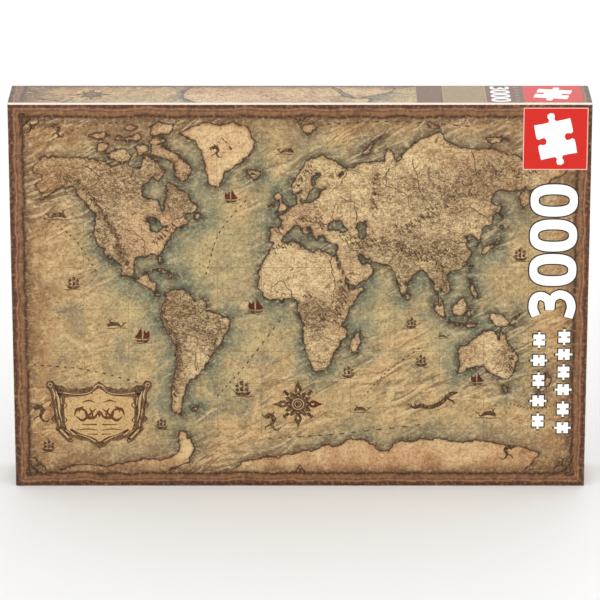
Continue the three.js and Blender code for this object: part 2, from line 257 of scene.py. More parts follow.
MAP_MIDDLE = -12  # where longitude 0 lies across the panel
MAP_EQUATOR = 140.5  # height of the equator above the panel's foot
MAP_SCALE_X = 1.15  # per degree of longitude on the equator
MAP_NARROWS = 0.04  # lost from it by the latitude MAP_NARROW_AT
MAP_NARROW_AT = 65
MAP_SCALE_Z = 79  # per radian of the projection
OPEN_SEA = 1e9  # a distance that every shore is nearer than
ICE_PAST_SHORE = 6  # so that the ragged shore of bare ice is bare too


def on_map(degrees):
    """Longitude and latitude to the panel, by Miller's cylindrical projection: height grows
    as 1.25 times the logarithm of the tangent of 45 degrees plus 0.4 times the latitude."""
    longitude, latitude = np.array(degrees, float).T
    narrowed = MAP_SCALE_X - MAP_NARROWS * (latitude / MAP_NARROW_AT) ** 2
    angle = math.pi / 4 + 0.4 * np.radians(latitude)
    height = MAP_EQUATOR + MAP_SCALE_Z * 1.25 * np.log(np.tan(angle))
    return np.stack([MAP_MIDDLE + narrowed * longitude, height], 1)


def inside_distance(outline, points):
    """Distance from each point to a closed outline, positive inside it: the least distance to
    its sides, with the sign of how often a ray along +x crosses them."""
    near = np.full(len(points), OPEN_SEA)
    crossings = np.zeros(len(points), int)
    for a, b in zip(outline, np.roll(outline, -1, 0)):
        side, rel = b - a, points - a
        along = np.clip(rel @ side / (side @ side), 0, 1)
        near = np.minimum(near, np.hypot(*(rel - along[:, None] * side).T))
        if a[1] != b[1]:
            spans = (a[1] > points[:, 1]) != (b[1] > points[:, 1])
            reach = a[0] + rel[:, 1] * side[0] / side[1]
            crossings += spans & (points[:, 0] < reach)
    return np.where(crossings % 2, near, -near)


def map_fields(points):
    """What the map shows at each point: the distance inland from the nearest shore, negative at
    sea; 1 on bare ice; and how hilly the land is, from 0 to 1."""
    shore = np.full(len(points), -OPEN_SEA)
    ice = np.zeros(len(points))
    for i, land in enumerate(LANDS):
        inland = inside_distance(on_map(land), points)
        shore = np.maximum(shore, inland)
        if i in ICE:
            ice = np.maximum(ice, np.clip(inland + ICE_PAST_SHORE, 0, 1))
    for water in WATERS:
        shore = np.minimum(shore, -inside_distance(on_map(water), points))
    hills = np.zeros(len(points))
    for longitude, latitude, wide, high, dark in HILLS:
        middle, corner = on_map([(longitude, latitude), (longitude + wide, latitude + high)])
        away = (points - middle) / (corner - middle)
        hills += dark * np.exp(-(away**2).sum(1))
    return shore, ice, np.clip(hills, 0, 1)


# ---------------------------------------------------------------- printed covering papers

PANEL, BOTTOM, RIGHT, TOP, LEFT = range(5)


def grid_quads(rows, columns):
    """The quads between the points of a grid that is counted row by row."""
    first = (np.arange(rows - 1)[:, None] * columns + np.arange(columns - 1)).ravel()
    return np.stack([first, first + 1, first + columns + 1, first + columns], 1)


def fold_profile(depth):
    """Inset and depth of a covering's section, from the edge of the panel round the fold, down
    the wall, round the rim and back up inside as the turned-in lip."""
    turn = np.linspace(0, math.pi / 2, FOLD_STEPS + 1)
    fold = np.stack([FOLD_RADIUS * (1 - np.sin(turn)), FOLD_RADIUS * (1 - np.cos(turn))], 1)
    rows = np.linspace(FOLD_RADIUS, depth - LIP_ROUND, round(depth / CELL))[1:]
    wall = np.stack([np.zeros(len(rows)), rows], 1)
    lip = [(LIP_MIDDLE, depth - LIP_MIDDLE), (LIP_ROUND, depth), (LIP - LIP_ROUND, depth),
           (LIP - LIP_MIDDLE, depth - LIP_MIDDLE), (LIP, depth - LIP_ROUND),
           (LIP, depth - TURN_IN)]
    return np.concatenate([fold, wall, lip])


def outline_at(inset, xs, zs, half_width, half_height):
    """A closed ring round the half at an inset: four straight runs that keep the panel's own
    grid lines, with an arc at each corner whose radius shrinks with the inset."""
    edge_x, edge_z = half_width - FOLD_RADIUS, half_height - FOLD_RADIUS
    radius = max(FOLD_RADIUS - inset, 0)
    squeeze = max(inset - FOLD_RADIUS, 0)
    run_x = xs * (edge_x - squeeze) / edge_x
    run_z = zs * (edge_z - squeeze) / edge_z
    out_x, out_z = half_width - inset, half_height - inset
    angles = np.linspace(0, math.pi / 2, FOLD_STEPS + 1)[1:-1]
    ring = []
    runs = [
        np.stack([run_x, np.full(len(xs), -out_z)], 1),
        np.stack([np.full(len(zs), out_x), run_z], 1),
        np.stack([run_x[::-1], np.full(len(xs), out_z)], 1),
        np.stack([np.full(len(zs), -out_x), run_z[::-1]], 1),
    ]
    for k, run in enumerate(runs):
        start = (k - 1) * math.pi / 2
        turn = angles + start
        middle = run[-1] - radius * np.array([math.cos(start), math.sin(start)])
        ring += [run, middle + radius * np.stack([np.cos(turn), np.sin(turn)], 1)]
    return np.concatenate(ring)


def covering(width, height, depth):
    """The covering paper of a half as one sheet. Its panel is a grid, and rings carried along
    the fold profile make the walls, the rim and the lip. Returns points as (x, depth, z) about
    the panel's middle, quads, the side that each point is on, and its place along that side."""
    nx, nz = round(width / CELL), round(height / CELL)
    xs = np.linspace(FOLD_RADIUS - width / 2, width / 2 - FOLD_RADIUS, nx + 1)
    zs = np.linspace(FOLD_RADIUS - height / 2, height / 2 - FOLD_RADIUS, nz + 1)
    gx, gz = np.meshgrid(xs, zs)
    panel = np.stack([gx.ravel(), np.zeros(gx.size), gz.ravel()], 1)
    panel_quads = grid_quads(nz + 1, nx + 1)

    rings = []
    for inset, down in fold_profile(depth):
        plan = outline_at(inset, xs, zs, width / 2, height / 2)
        rings.append(np.stack([plan[:, 0], np.full(len(plan), down), plan[:, 1]], 1))
    round_it = len(rings[0])
    k, n = np.meshgrid(np.arange(len(rings) - 1), np.arange(round_it), indexing="ij")
    k, n = k.ravel(), n.ravel()
    here, after = k * round_it + n, k * round_it + (n + 1) % round_it
    start = len(panel)
    ring_quads = start + np.stack([here, here + round_it, after + round_it, after], 1)

    # the panel and the fold's first two rings show the panel's print, and the rest the walls'
    points = np.concatenate([panel, *rings])
    side = np.full(len(points), PANEL)
    along, down = points[:, 0].copy(), points[:, 2].copy()
    walls = np.arange(len(points)) >= start + 2 * round_it
    past_x = np.abs(points[:, 0]) - width / 2
    past_z = np.abs(points[:, 2]) - height / 2
    level = past_z > past_x
    side[walls & level] = np.where(points[walls & level, 2] > 0, TOP, BOTTOM)
    side[walls & ~level] = np.where(points[walls & ~level, 0] > 0, RIGHT, LEFT)
    upright = (side == RIGHT) | (side == LEFT)
    along[upright] = points[upright, 2]
    down[side != PANEL] = points[side != PANEL, 1]
    return points, np.concatenate([panel_quads, ring_quads]), side, np.stack([along, down], 1)


def printed_sheet(name, low, high, opens, material, body, fields):
    """A half's covering with its print's fields as attributes, thickened to paper. opens is 1
    for a half that opens towards +y and -1 for one that opens towards -y."""
    width, depth, height = high - low
    points, quads, side, place = covering(width, height, depth)
    y = low[1] + points[:, 1] if opens > 0 else high[1] - points[:, 1]
    if opens < 0:
        quads = quads[:, ::-1]
    middle = (low[2] + high[2]) / 2
    world = np.stack([points[:, 0], y, points[:, 2] + middle], 1)
    mesh = mesh_of(name, world, quads.tolist(), fields(side, place, world))
    weld(mesh)
    piece = finish_piece(name, mesh, material, body)
    thick = piece.modifiers.new("paper", "SOLIDIFY")
    thick.thickness = PAPER * MM
    thick.offset = -1
    return piece


STAIN_REACH = 24  # how far in from its edges the sheet has gone brown
LEVEL_STAIN = 0.75  # how brown the level edges are beside the upright ones
FOLD_WEAR_AND_HIGHLIGHT_REACH = 3  # how far from the top fold the worn paper and the painted highlight reach
RIM_TRIM = 7.6  # width of the sheet's frame that the lid's rim cuts off
WALLS_PAST_LINES = 12  # added on the tray's walls, which so have no gold lines

# Each wall shows a stretch of the same map, enlarged: (map x, map height) of its middle at the
# fold, how map lengths shrink on it, and the direction in which its depth runs.
WALL_VIEWS = {
    TOP: (16, 150, 0.55, 1),
    BOTTOM: (60, 190, 0.55, -1),
    RIGHT: (-60, 160, 0.55, 1),
    LEFT: (110, 160, 0.55, 1),
}


def lid_fields(side, place, world):
    """The lid's print. coast: distance inland; edge: distance from the sheet's dark frame
    edge; stain: how brown the sheet has gone, the sum of a fading power of its distance from
    the nearest upright and the nearest level edge; fold_wear_and_highlight: how close the top
    front fold is, 1 on it, where the paper is worn to its white core and a painted highlight
    stands for the light from above on that fold; ice and hills as in map_fields."""
    spot = np.stack([world[:, 0], world[:, 2]], 1)
    grow = np.ones(len(side))
    for wall, (x, z, shrink, way) in WALL_VIEWS.items():
        on = side == wall
        spot[on] = np.array([x, z]) + shrink * place[on] * [1, way]
        grow[on] = shrink
    shore, ice, hills = map_fields(spot)
    half = np.where((side == TOP) | (side == BOTTOM), LID_WIDTH, LID_HEIGHT) / 2
    end = half - np.abs(place[:, 0])
    rim = LID_DEPTH - place[:, 1] + RIM_TRIM
    level = np.where(side == PANEL, MIDDLE_Z - np.abs(world[:, 2] - MIDDLE_Z), rim)
    upright = np.where(side == PANEL, LID_WIDTH / 2 - np.abs(world[:, 0]), end)
    edge = np.minimum(level, upright)
    stain = np.exp(-upright / STAIN_REACH) + LEVEL_STAIN * np.exp(-level / STAIN_REACH)
    # closeness to the top front fold, which carries both wear and a painted highlight
    from_top_fold = np.hypot(world[:, 1] - LID_LOW[1], world[:, 2] - LID_HIGH[2])
    fold_wear_and_highlight = np.clip(1 - from_top_fold / FOLD_WEAR_AND_HIGHLIGHT_REACH, 0, 1)
    return {"coast": shore / grow, "ice": ice, "hills": hills, "edge": edge, "stain": stain,
            "fold_wear_and_highlight": fold_wear_and_highlight}


def tray_fields(side, place, world):
    """The tray's print needs only the distance from the panel's edge, or on a wall from the
    wall's ends."""
    panel_edge = np.minimum(TRAY_WIDTH / 2 - np.abs(world[:, 0]),
                            TRAY_HEIGHT / 2 - np.abs(world[:, 2] - MIDDLE_Z))
    half = np.where((side == TOP) | (side == BOTTOM), TRAY_WIDTH, TRAY_HEIGHT) / 2
    wall_edge = half - np.abs(place[:, 0]) + WALLS_PAST_LINES
    return {"edge": np.where(side == PANEL, panel_edge, wall_edge)}


# ---------------------------------------------------------------- finishes

NOISE = "ShaderNodeTexNoise"
RANGE = "ShaderNodeMapRange"
MATH = "ShaderNodeMath"
MIX = "ShaderNodeMix"
RAMP = "ShaderNodeValToRGB"
FIELD = "ShaderNodeAttribute"
FRAME_WIDTH = 13  # of the dark frame printed round the sheet
TRAY_GROUND = 40.0  # from the edge of the tray's panel to where its ground stops changing
CREASE_STEP = (0.02, 0.05, 0.1)  # in units of a crease's own length and width
CREASE_GAIN = 14.0  # brings the noise's change over that step to about -1 to 1


def new_material(name):
    """A material whose tree holds its output and its shader, with the place in millimetres."""
    material = bpy.data.materials.new(name)
    material.use_nodes = True
    tree = material.node_tree
    tree.nodes.clear()
    shader = node(tree, "ShaderNodeBsdfPrincipled", out=None)
    node(tree, "ShaderNodeOutputMaterial", {"Surface": shader.outputs[0]}, out=None)
    place = node(tree, "ShaderNodeTexCoord", out="Object")
    mm = node(tree, "ShaderNodeVectorMath", {0: place, "Scale": 1 / MM}, operation="SCALE")
    return material, tree, shader, mm


def laid_over(tree, base, layers):
    """Colours laid over a base, each with the factor by which it covers what is below it."""
    for factor, colour in layers:
        if isinstance(colour, str):
            colour = linear(colour)
        base = node(tree, MIX, {0: factor, 6: base, 7: colour}, out=2, data_type="RGBA")
    return base


def laid_where(tree, base, layers):
    """Colours laid over a base, each as far as a field has gone from start, where none of it
    shows, to end, where it covers what is below it by the given share."""
    for field, start, end, cover, colour in layers:
        factor = node(tree, RANGE, {"Value": field, "From Min": start, "From Max": end,
                                    "To Max": cover})
        base = laid_over(tree, base, [(factor, colour)])
    return base


def pen_strokes(tree, mm, size, thin, swirl, longer=1):
    """Pen strokes, 1 on a stroke: the level lines of a noise of that size, which is stretched
    along x by longer."""
    stretched = node(tree, "ShaderNodeMapping", {"Vector": mm, "Scale": (longer, 1, 1)},
                     vector_type="TEXTURE")
    wave = node(tree, NOISE, {"Vector": stretched, "Scale": 1 / size, "Detail": 1.2,
                              "Distortion": swirl})
    off = node(tree, MATH, {0: wave, 1: 0.5}, operation="SUBTRACT")
    away = node(tree, MATH, {0: off}, operation="ABSOLUTE")
    return node(tree, RANGE, {"Value": away, "From Min": thin * 0.45, "From Max": thin * 1.2,
                              "To Min": 1, "To Max": 0})


def crumple(tree, mm, tilt, length, width):
    """Light and shade of old creases, about -1 to 1: how a noise that is stretched along a
    tilted direction changes over a short step across it."""
    stretch = {"Vector": mm, "Rotation": (0, tilt, 0), "Scale": (length, width, width)}
    turned = node(tree, "ShaderNodeMapping", stretch, vector_type="TEXTURE")
    beside = node(tree, "ShaderNodeVectorMath", {0: turned, 1: CREASE_STEP}, operation="ADD")
    setting = {"Scale": 1, "Detail": 2.5, "Roughness": 0.5, "Distortion": 1.4}
    here = node(tree, NOISE, {"Vector": turned, **setting})
    there = node(tree, NOISE, {"Vector": beside, **setting})
    slope = node(tree, MATH, {0: here, 1: there}, operation="SUBTRACT")
    return node(tree, MATH, {0: slope, 1: CREASE_GAIN}, operation="MULTIPLY")


def old_creases(tree, mm, land, broad):
    """Light and shade of the sheet's creases, which are in some places only and fainter on
    land, together with the sea's fine ripples."""
    creased = node(tree, RANGE, {"Value": broad, "From Min": 0.55, "From Max": 0.38,
                                 "To Min": 0.2})
    on_land = node(tree, RANGE, {"Value": land, "To Min": 1, "To Max": 0.4})
    creased = node(tree, MATH, {0: creased, 1: on_land}, operation="MULTIPLY")
    long_creases = crumple(tree, mm, -0.5, 25, 8.5)
    creases = node(tree, MATH, {0: long_creases, 1: creased}, operation="MULTIPLY")
    ripples = crumple(tree, mm, -0.08, 5, 2)
    return node(tree, MATH, {0: ripples, 1: 0.34, 2: creases}, operation="MULTIPLY_ADD")


def sea_colours(tree, mm, coast, broad, middling, patchy):
    """Tan open sea with green, dull, yellow and slate clouds, grey-green in patches near the
    shore and dark along it."""
    swells = node(tree, NOISE, {"Vector": mm, "Scale": 1 / 26, "Detail": 5, "Distortion": 1.2})
    shallows = node(tree, RANGE, {"Value": coast, "From Min": -22, "From Max": -1},
                    interpolation_type="SMOOTHSTEP")
    shallows = node(tree, MATH, {0: shallows, 1: patchy}, operation="MULTIPLY")
    shore_shade = node(tree, RANGE, {"Value": coast, "From Min": -6, "From Max": -0.3,
                                     "To Max": 0.9}, interpolation_type="SMOOTHSTEP")
    sea = laid_where(tree, linear("#c9a470"), [
        (broad, 0.42, 0.62, 0.65, "#a8a075"), (middling, 0.42, 0.66, 0.6, "#9c8a60"),
        (swells, 0.46, 0.3, 0.6, "#d8bd84"), (swells, 0.54, 0.68, 0.6, "#6a6c5c")])
    return laid_over(tree, sea, [(shallows, "#69755f"), (shore_shade, "#3d4034")])


def land_colours(tree, mm, coast, ice, hills, broad, middling):
    """Parchment with pinkish clouds, brown along the shore and where the ground is crowded. Pen
    strokes as fine as writing crowd there, and borders cross all land but the bare ice."""
    off_ice = node(tree, MATH, {0: 1.0, 1: ice}, operation="SUBTRACT")
    crowd = node(tree, MATH, {0: middling, 1: hills}, operation="ADD")
    crowd = node(tree, RANGE, {"Value": crowd, "From Min": 0.35, "From Max": 1.2, "To Min": 0.22})
    crowd = node(tree, MATH, {0: crowd, 1: off_ice}, operation="MULTIPLY")
    small, large, borders = (
        node(tree, MATH, {0: pen_strokes(tree, mm, *pen), 1: share}, operation="MULTIPLY")
        for pen, share in (((2.6, 0.06, 1.6, 2.2), crowd), ((6.5, 0.035, 2.4, 1.4), crowd),
                           ((17, 0.013, 2.2), off_ice)))
    borders = node(tree, MATH, {0: borders, 1: 0.7}, operation="MULTIPLY")
    bank = node(tree, RANGE, {"Value": coast, "From Max": 3.0, "To Min": 0.66, "To Max": 0})
    ground = laid_where(tree, linear("#e6c793"), [
        (broad, 0.46, 0.64, 0.6, "#c58d66"), (crowd, 0.4, 1, 0.55, "#846a4b")])
    return laid_over(tree, ground, [(bank, "#7d5937"), (borders, "#55391f"),
                                    (large, "#4a341f"), (small, "#5a432b")])


def frame_colours(tree, edge, fine, mottled):
    """The sheet's frame: worn dark bands that follow its edge, with flecks and pits."""
    across = node(tree, MATH, {0: edge, 1: FRAME_WIDTH}, operation="DIVIDE")
    bands = node(tree, RAMP, {0: across}, stops=[
        (0.0, "#6a503a"), (0.07, "#4a3628"), (0.17, "#502c1f"), (0.28, "#6e412c"),
        (0.36, "#9c7558"), (0.42, "#684431"), (0.55, "#8b6240"), (0.68, "#7d573a"),
        (0.78, "#452a1b"), (0.86, "#3e2617"), (0.94, "#785035"), (1.0, "#98704b")])
    return laid_where(tree, bands, [
        (fine, 0.5, 0.7, 0.5, "#b98f60"), (mottled, 0.52, 0.34, 0.5, "#38241a")])


def aged_map_picture(tree, mm):
    """The picture on the lid's paper: parchment, seas, lands and a dark frame, all read from
    the sheet's own fields and made ragged by noise."""
    broad, middling, fine, ragged, grit, mottled = (
        node(tree, NOISE, {"Vector": mm, "Scale": 1 / size, "Detail": detail,
                           "Roughness": rough, "Distortion": swirl})
        for size, detail, rough, swirl in (
            (60, 3, 0.5, 0), (15, 4, 0.5, 0), (2.6, 3, 0.6, 0), (9, 6, 0.62, 0),
            (1.3, 2, 0.6, 0), (6.5, 5, 0.6, 0.6)))
    raw_coast, ice, hills, raw_edge, stain, fold_wear_and_highlight = (
        node(tree, FIELD, out="Fac", attribute_name=name)
        for name in ("coast", "ice", "hills", "edge", "stain", "fold_wear_and_highlight"))

    # sea and land on the two sides of a ragged shore
    push = node(tree, RANGE, {"Value": ragged, "From Min": 0.2, "From Max": 0.8, "To Min": -3,
                              "To Max": 3}, clamp=False)
    coast = node(tree, MATH, {0: raw_coast, 1: push}, operation="ADD")
    land = node(tree, RANGE, {"Value": coast, "From Min": -0.2, "From Max": 0.2})
    off_shore = node(tree, MATH, {0: coast}, operation="ABSOLUTE")
    shoreline = node(tree, RANGE, {"Value": off_shore, "From Min": 0.25, "From Max": 0.95,
                                   "To Min": 0.9, "To Max": 0})
    patchy = node(tree, RANGE, {"Value": middling, "From Min": 0.3, "From Max": 0.6,
                                "To Min": 0.35})
    sea = sea_colours(tree, mm, coast, broad, middling, patchy)
    ground = land_colours(tree, mm, coast, ice, hills, broad, middling)
    picture = laid_over(tree, sea, [(land, ground)])

    # stains near the edges of the sheet, and dirt rubbed in beside its frame
    blotchy = node(tree, RANGE, {"Value": middling, "From Min": 0.3, "From Max": 0.7,
                                 "To Min": 0.35, "To Max": 1.3})
    stained = node(tree, MATH, {0: stain, 1: blotchy}, operation="MULTIPLY")
    wobble = node(tree, RANGE, {"Value": middling, "From Min": 0.2, "From Max": 0.8,
                                "To Min": -1.6, "To Max": 1.6})
    edge = node(tree, MATH, {0: raw_edge, 1: wobble}, operation="ADD")
    rubbed = node(tree, RANGE, {"Value": edge, "From Min": 11, "From Max": 20, "To Min": 0.75,
                                "To Max": 0}, interpolation_type="SMOOTHSTEP")
    rubbed = node(tree, MATH, {0: rubbed, 1: patchy}, operation="MULTIPLY")
    picture = laid_where(tree, picture, [
        (stained, 0.03, 0.45, 0.66, "#ab6f3e"), (stained, 0.26, 0.9, 0.8, "#52361f")])
    picture = laid_over(tree, picture, [(rubbed, "#543a26")])

    # mottling, creases and grain, then the shore and the frame
    creases = old_creases(tree, mm, land, broad)
    picture = laid_where(tree, picture, [
        (mottled, 0.5, 0.3, 0.5, "#7e6240"), (mottled, 0.53, 0.7, 0.36, "#e0c595"),
        (creases, 0.1, 1.3, 0.44, "#e4cca0"), (creases, -0.1, -1.3, 0.5, "#584329"),
        (fine, 0.48, 0.28, 0.62, "#644c2f"), (fine, 0.53, 0.76, 0.45, "#e3cb9e"),
        (grit, 0.46, 0.3, 0.4, "#5a4227")])
    on_frame = node(tree, RANGE, {"Value": edge, "From Min": 0.8 * FRAME_WIDTH,
                                  "From Max": FRAME_WIDTH, "To Min": 1, "To Max": 0})
    frame_print = frame_colours(tree, edge, fine, mottled)
    picture = laid_over(tree, picture, [(shoreline, "#33251a"), (on_frame, frame_print)])

    # the paper's white core shows along the worn top fold, and a painted highlight lies there too,
    # where the light from above catches the fold
    chips = node(tree, RANGE, {"Value": fine, "To Min": -0.06, "To Max": 0.06})
    worn = node(tree, MATH, {0: fold_wear_and_highlight, 1: chips}, operation="ADD")
    return laid_where(tree, picture, [(worn, 0.52, 0.64, 1, "#f6e3d4")])


def satin_varnish(tree, mm, shader):
    """Soft, slightly uneven gloss of a water varnish on board: used by every printed paper."""
    uneven = node(tree, NOISE, {"Vector": mm, "Scale": 1 / 30, "Detail": 2})
    grain = node(tree, NOISE, {"Vector": mm, "Scale": 1 / 1.5, "Detail": 2})
    sheen = node(tree, RANGE, {"Value": grain, "To Min": 0.4, "To Max": 0.52})
    tree.links.new(sheen, shader.inputs["Roughness"])
    shader.inputs["IOR"].default_value = 1.45
    shader.inputs["Specular IOR Level"].default_value = 0.28
    relief = node(tree, "ShaderNodeBump", {"Height": uneven, "Strength": 0.2,
                                           "Distance": 0.5 * MM})
    tree.links.new(relief, shader.inputs["Normal"])


def varnished_map_print():
    """Offset print on coated art paper with a satin water varnish: an even, soft gloss over a
    picture of aged parchment, with tan ground, grey-green shallows and brown pen work."""
    material, tree, shader, mm = new_material("varnished_map_print")
    tree.links.new(aged_map_picture(tree, mm), shader.inputs["Base Color"])
    satin_varnish(tree, mm, shader)
    return material


def printing_ink(name, colour, under, gaps):
    """A solid printed colour under the same varnish, through which a share of what it was
    printed over shows in fine gaps, so that pen work looks dry and uneven."""
    material, tree, shader, mm = new_material(name)
    fine = node(tree, NOISE, {"Vector": mm, "Scale": 1 / 1.6, "Detail": 3, "Roughness": 0.6})
    ink = laid_where(tree, linear(colour), [(fine, 0.45, 0.65, gaps, under)])
    tree.links.new(ink, shader.inputs["Base Color"])
    satin_varnish(tree, mm, shader)
    return material


def recycled_greyboard():
    """Grey chipboard pressed from waste paper: matt, brown-grey, with fibres and flecks in it,
    and faint laminate lines."""
    material, tree, shader, mm = new_material("recycled_greyboard")
    cloud = node(tree, NOISE, {"Vector": mm, "Scale": 1 / 24, "Detail": 3})
    fleck = node(tree, NOISE, {"Vector": mm, "Scale": 1 / 1.3, "Detail": 2, "Roughness": 0.7})
    fibre = pen_strokes(tree, mm, 5, 0.012, 3.0)
    fibre = node(tree, MATH, {0: fibre, 1: 0.35}, operation="MULTIPLY")
    colour = laid_over(tree, linear("#a39a8b"), [(cloud, "#8f8678"), (fibre, "#776e60")])
    colour = laid_where(tree, colour, [
        (fleck, 0.62, 0.72, 0.6, "#6a6255"), (fleck, 0.38, 0.26, 0.5, "#bdb5a6")])
    tree.links.new(colour, shader.inputs["Base Color"])
    shader.inputs["Roughness"].default_value = 0.88
    relief = node(tree, "ShaderNodeBump", {"Height": fleck, "Strength": 0.35,
                                           "Distance": 0.15 * MM})
    tree.links.new(relief, shader.inputs["Normal"])
    return material


def kraft_paper():
    """Unbleached paper tape round the box's corners: matt yellow-brown with long fibres."""
    material, tree, shader, mm = new_material("kraft_paper")
    cloud = node(tree, NOISE, {"Vector": mm, "Scale": 1 / 9, "Detail": 4})
    fibre = pen_strokes(tree, mm, 3.5, 0.02, 2.5)
    fibre = node(tree, MATH, {0: fibre, 1: 0.45}, operation="MULTIPLY")
    colour = laid_over(tree, linear("#b78f60"), [(cloud, "#a27a4d"), (fibre, "#8a6540")])
    tree.links.new(colour, shader.inputs["Base Color"])
    shader.inputs["Roughness"].default_value = 0.8
    return material


def clear_bag_film():
    """Clear polypropylene film, a twentieth of a millimetre thick: seen mostly by its glints and
    a slight haze that gathers in the wrinkles, and whiter where it is seen edge on, partly by
    that haze and partly by a painted glint."""
    material, tree, shader, mm = new_material("clear_bag_film")
    shader.inputs["Base Color"].default_value = linear("#eef1f2")
    shader.inputs["Roughness"].default_value = 0.09
    shader.inputs["IOR"].default_value = 1.49
    haze = node(tree, NOISE, {"Vector": mm, "Scale": 1 / 22, "Detail": 4, "Distortion": 1.5})
    haze = node(tree, RANGE, {"Value": haze, "From Min": 0.4, "From Max": 0.7, "To Min": 0.03,
                              "To Max": 0.11})
    # more opaque white where the film is seen edge on: partly its haze, partly a painted glint
    edge_on_glint = node(tree, "ShaderNodeLayerWeight", {"Blend": 0.15}, out="Facing")
    alpha = node(tree, MATH, {0: edge_on_glint, 1: 0.4, 2: haze}, operation="MULTIPLY_ADD")
    tree.links.new(alpha, shader.inputs["Alpha"])
    return material


def map_scraps(tree, mm, share):
    """What a small piece of the map shows: sea, land or frame by its share, with pen strokes."""
    fine = node(tree, NOISE, {"Vector": mm, "Scale": 1 / 2.6, "Detail": 3})
    ground = node(tree, RAMP, {0: share}, stops=[
        (0.1, "#7a563c"), (0.2, "#c2a06c"), (0.36, "#8f8a68"), (0.5, "#b59a68"),
        (0.64, "#d2b07a"), (0.78, "#a48a5c"), (0.88, "#6f6f58"), (1.0, "#c9a572")])
    strokes = pen_strokes(tree, mm, 5, 0.045, 2)
    marked = node(tree, MATH, {0: strokes, 1: 0.7}, operation="MULTIPLY")
    marked_ground = laid_over(tree, ground, [(marked, "#5a442d")])
    return laid_where(tree, marked_ground, [(fine, 0.5, 0.28, 0.5, "#6a5031")])


def piece_board(tree, mm, shader, printed, share):
    """A piece's board: satin, with a scrap of the map, where printed is 1, and matt grey board
    elsewhere."""
    fleck = node(tree, NOISE, {"Vector": mm, "Scale": 1 / 1.1, "Detail": 2})
    colour = laid_over(tree, linear("#a9a397"), [
        (fleck, "#8f897d"), (printed, map_scraps(tree, mm, share))])
    tree.links.new(colour, shader.inputs["Base Color"])
    gloss = node(tree, RANGE, {"Value": printed, "To Min": 0.85, "To Max": 0.45})
    tree.links.new(gloss, shader.inputs["Roughness"])


def die_cut_piece_print():
    """Printed and varnished grey board, die cut: a satin picture side that shows a scrap of
    the map, and a matt grey side and edges."""
    material, tree, shader, mm = new_material("die_cut_piece_print")
    share = node(tree, FIELD, out="Fac", attribute_name="print")
    printed = node(tree, MATH, {0: share, 1: 0.05}, operation="GREATER_THAN")
    piece_board(tree, mm, shader, printed, share)
    return material


def front_piece_print():
    """The same board for the pieces that lie against the film with their pictures outwards: the
    picture is on what faces the front."""
    material, tree, shader, mm = new_material("front_piece_print")
    normal = node(tree, "ShaderNodeNewGeometry", out="Normal")
    y = node(tree, "ShaderNodeSeparateXYZ", {0: normal}, out=1)
    printed = node(tree, MATH, {0: y, 1: -0.7}, operation="LESS_THAN")
    share = node(tree, NOISE, {"Vector": mm, "Scale": 1 / 40, "Detail": 1})
    share = node(tree, RANGE, {"Value": share, "From Min": 0.3, "From Max": 0.7})
    piece_board(tree, mm, shader, printed, share)
    return material


def leaflet_paper():
    """Thin uncoated white paper: matt, with a faint cloud of uneven fibres."""
    material, tree, shader, mm = new_material("uncoated_leaflet_paper")
    cloud = node(tree, NOISE, {"Vector": mm, "Scale": 1 / 4, "Detail": 4})
    colour = laid_over(tree, linear("#f2f0ea"), [(cloud, "#e4e1d8")])
    tree.links.new(colour, shader.inputs["Base Color"])
    shader.inputs["Roughness"].default_value = 0.8
    return material


def varnished_brown_print():
    """The tray's paper: the same art paper and varnish, printed as dark worn leather brown with
    a gold line round the panel."""
    material, tree, shader, mm = new_material("varnished_brown_print")
    broad = node(tree, NOISE, {"Vector": mm, "Scale": 1 / 50, "Detail": 4})
    fine = node(tree, NOISE, {"Vector": mm, "Scale": 1 / 3, "Detail": 4, "Roughness": 0.6})
    edge = node(tree, FIELD, out="Fac", attribute_name="edge")
    across = node(tree, MATH, {0: edge, 1: TRAY_GROUND}, operation="DIVIDE")
    ground = node(tree, RAMP, {0: across}, stops=[
        (0.0, "#3f2a1c"), (0.17, "#5b3f2b"), (0.18, "#a88354"), (0.21, "#a88354"),
        (0.22, "#4c3322"), (0.26, "#4c3322"), (0.27, "#8d6b45"), (0.29, "#8d6b45"),
        (0.3, "#634630"), (1.0, "#6f5037")])
    veins = node(tree, MATH, {0: pen_strokes(tree, mm, 7, 0.02, 2.5), 1: 0.4},
                 operation="MULTIPLY")
    colour = laid_where(tree, ground, [(broad, 0.45, 0.7, 0.4, "#8a6747")])
    colour = laid_over(tree, colour, [(veins, "#3c281a")])
    colour = laid_where(tree, colour, [
        (fine, 0.5, 0.3, 0.5, "#3c281a"), (fine, 0.55, 0.75, 0.4, "#92704d")])
    tree.links.new(colour, shader.inputs["Base Color"])
    satin_varnish(tree, mm, shader)
    return material


# ---------------------------------------------------------------- printed shapes

# Each face of the lid: a point on it, the direction that its print calls up, and outwards
FRONT_FACE = ((0, LID_LOW[1], 0), (0, 0, 1), (0, -1, 0))
TOP_FACE = ((0, LID_LOW[1], LID_HEIGHT), (0, 1, 0), (0, 0, 1))
RIGHT_FACE = ((LID_WIDTH / 2, LID_HIGH[1], MIDDLE_Z), (0, -1, 0), (1, 0, 0))
LEFT_FACE = ((-LID_WIDTH / 2, LID_LOW[1], MIDDLE_Z), (0, 1, 0), (-1, 0, 0))


def through(points, steps):
    """A smooth path through a few points: between two of them, a cubic whose slope at each is
    half the way between that point's neighbours."""
    p = np.array(points, float)
    p = np.concatenate([2 * p[:1] - p[1:2], p, 2 * p[-1:] - p[-2:-1]])
    t = np.linspace(0, 1, steps, endpoint=False)[:, None, None]
    a, b, c, d = p[:-3], p[1:-2], p[2:-1], p[3:]
    path = b + (c - a) * t / 2 + (2 * a - 5 * b + 4 * c - d) * t**2 / 2
    path = path + (3 * b - a - 3 * c + d) * t**3 / 2
    return np.concatenate([path.transpose(1, 0, 2).reshape(-1, 2), p[-2:-1]])


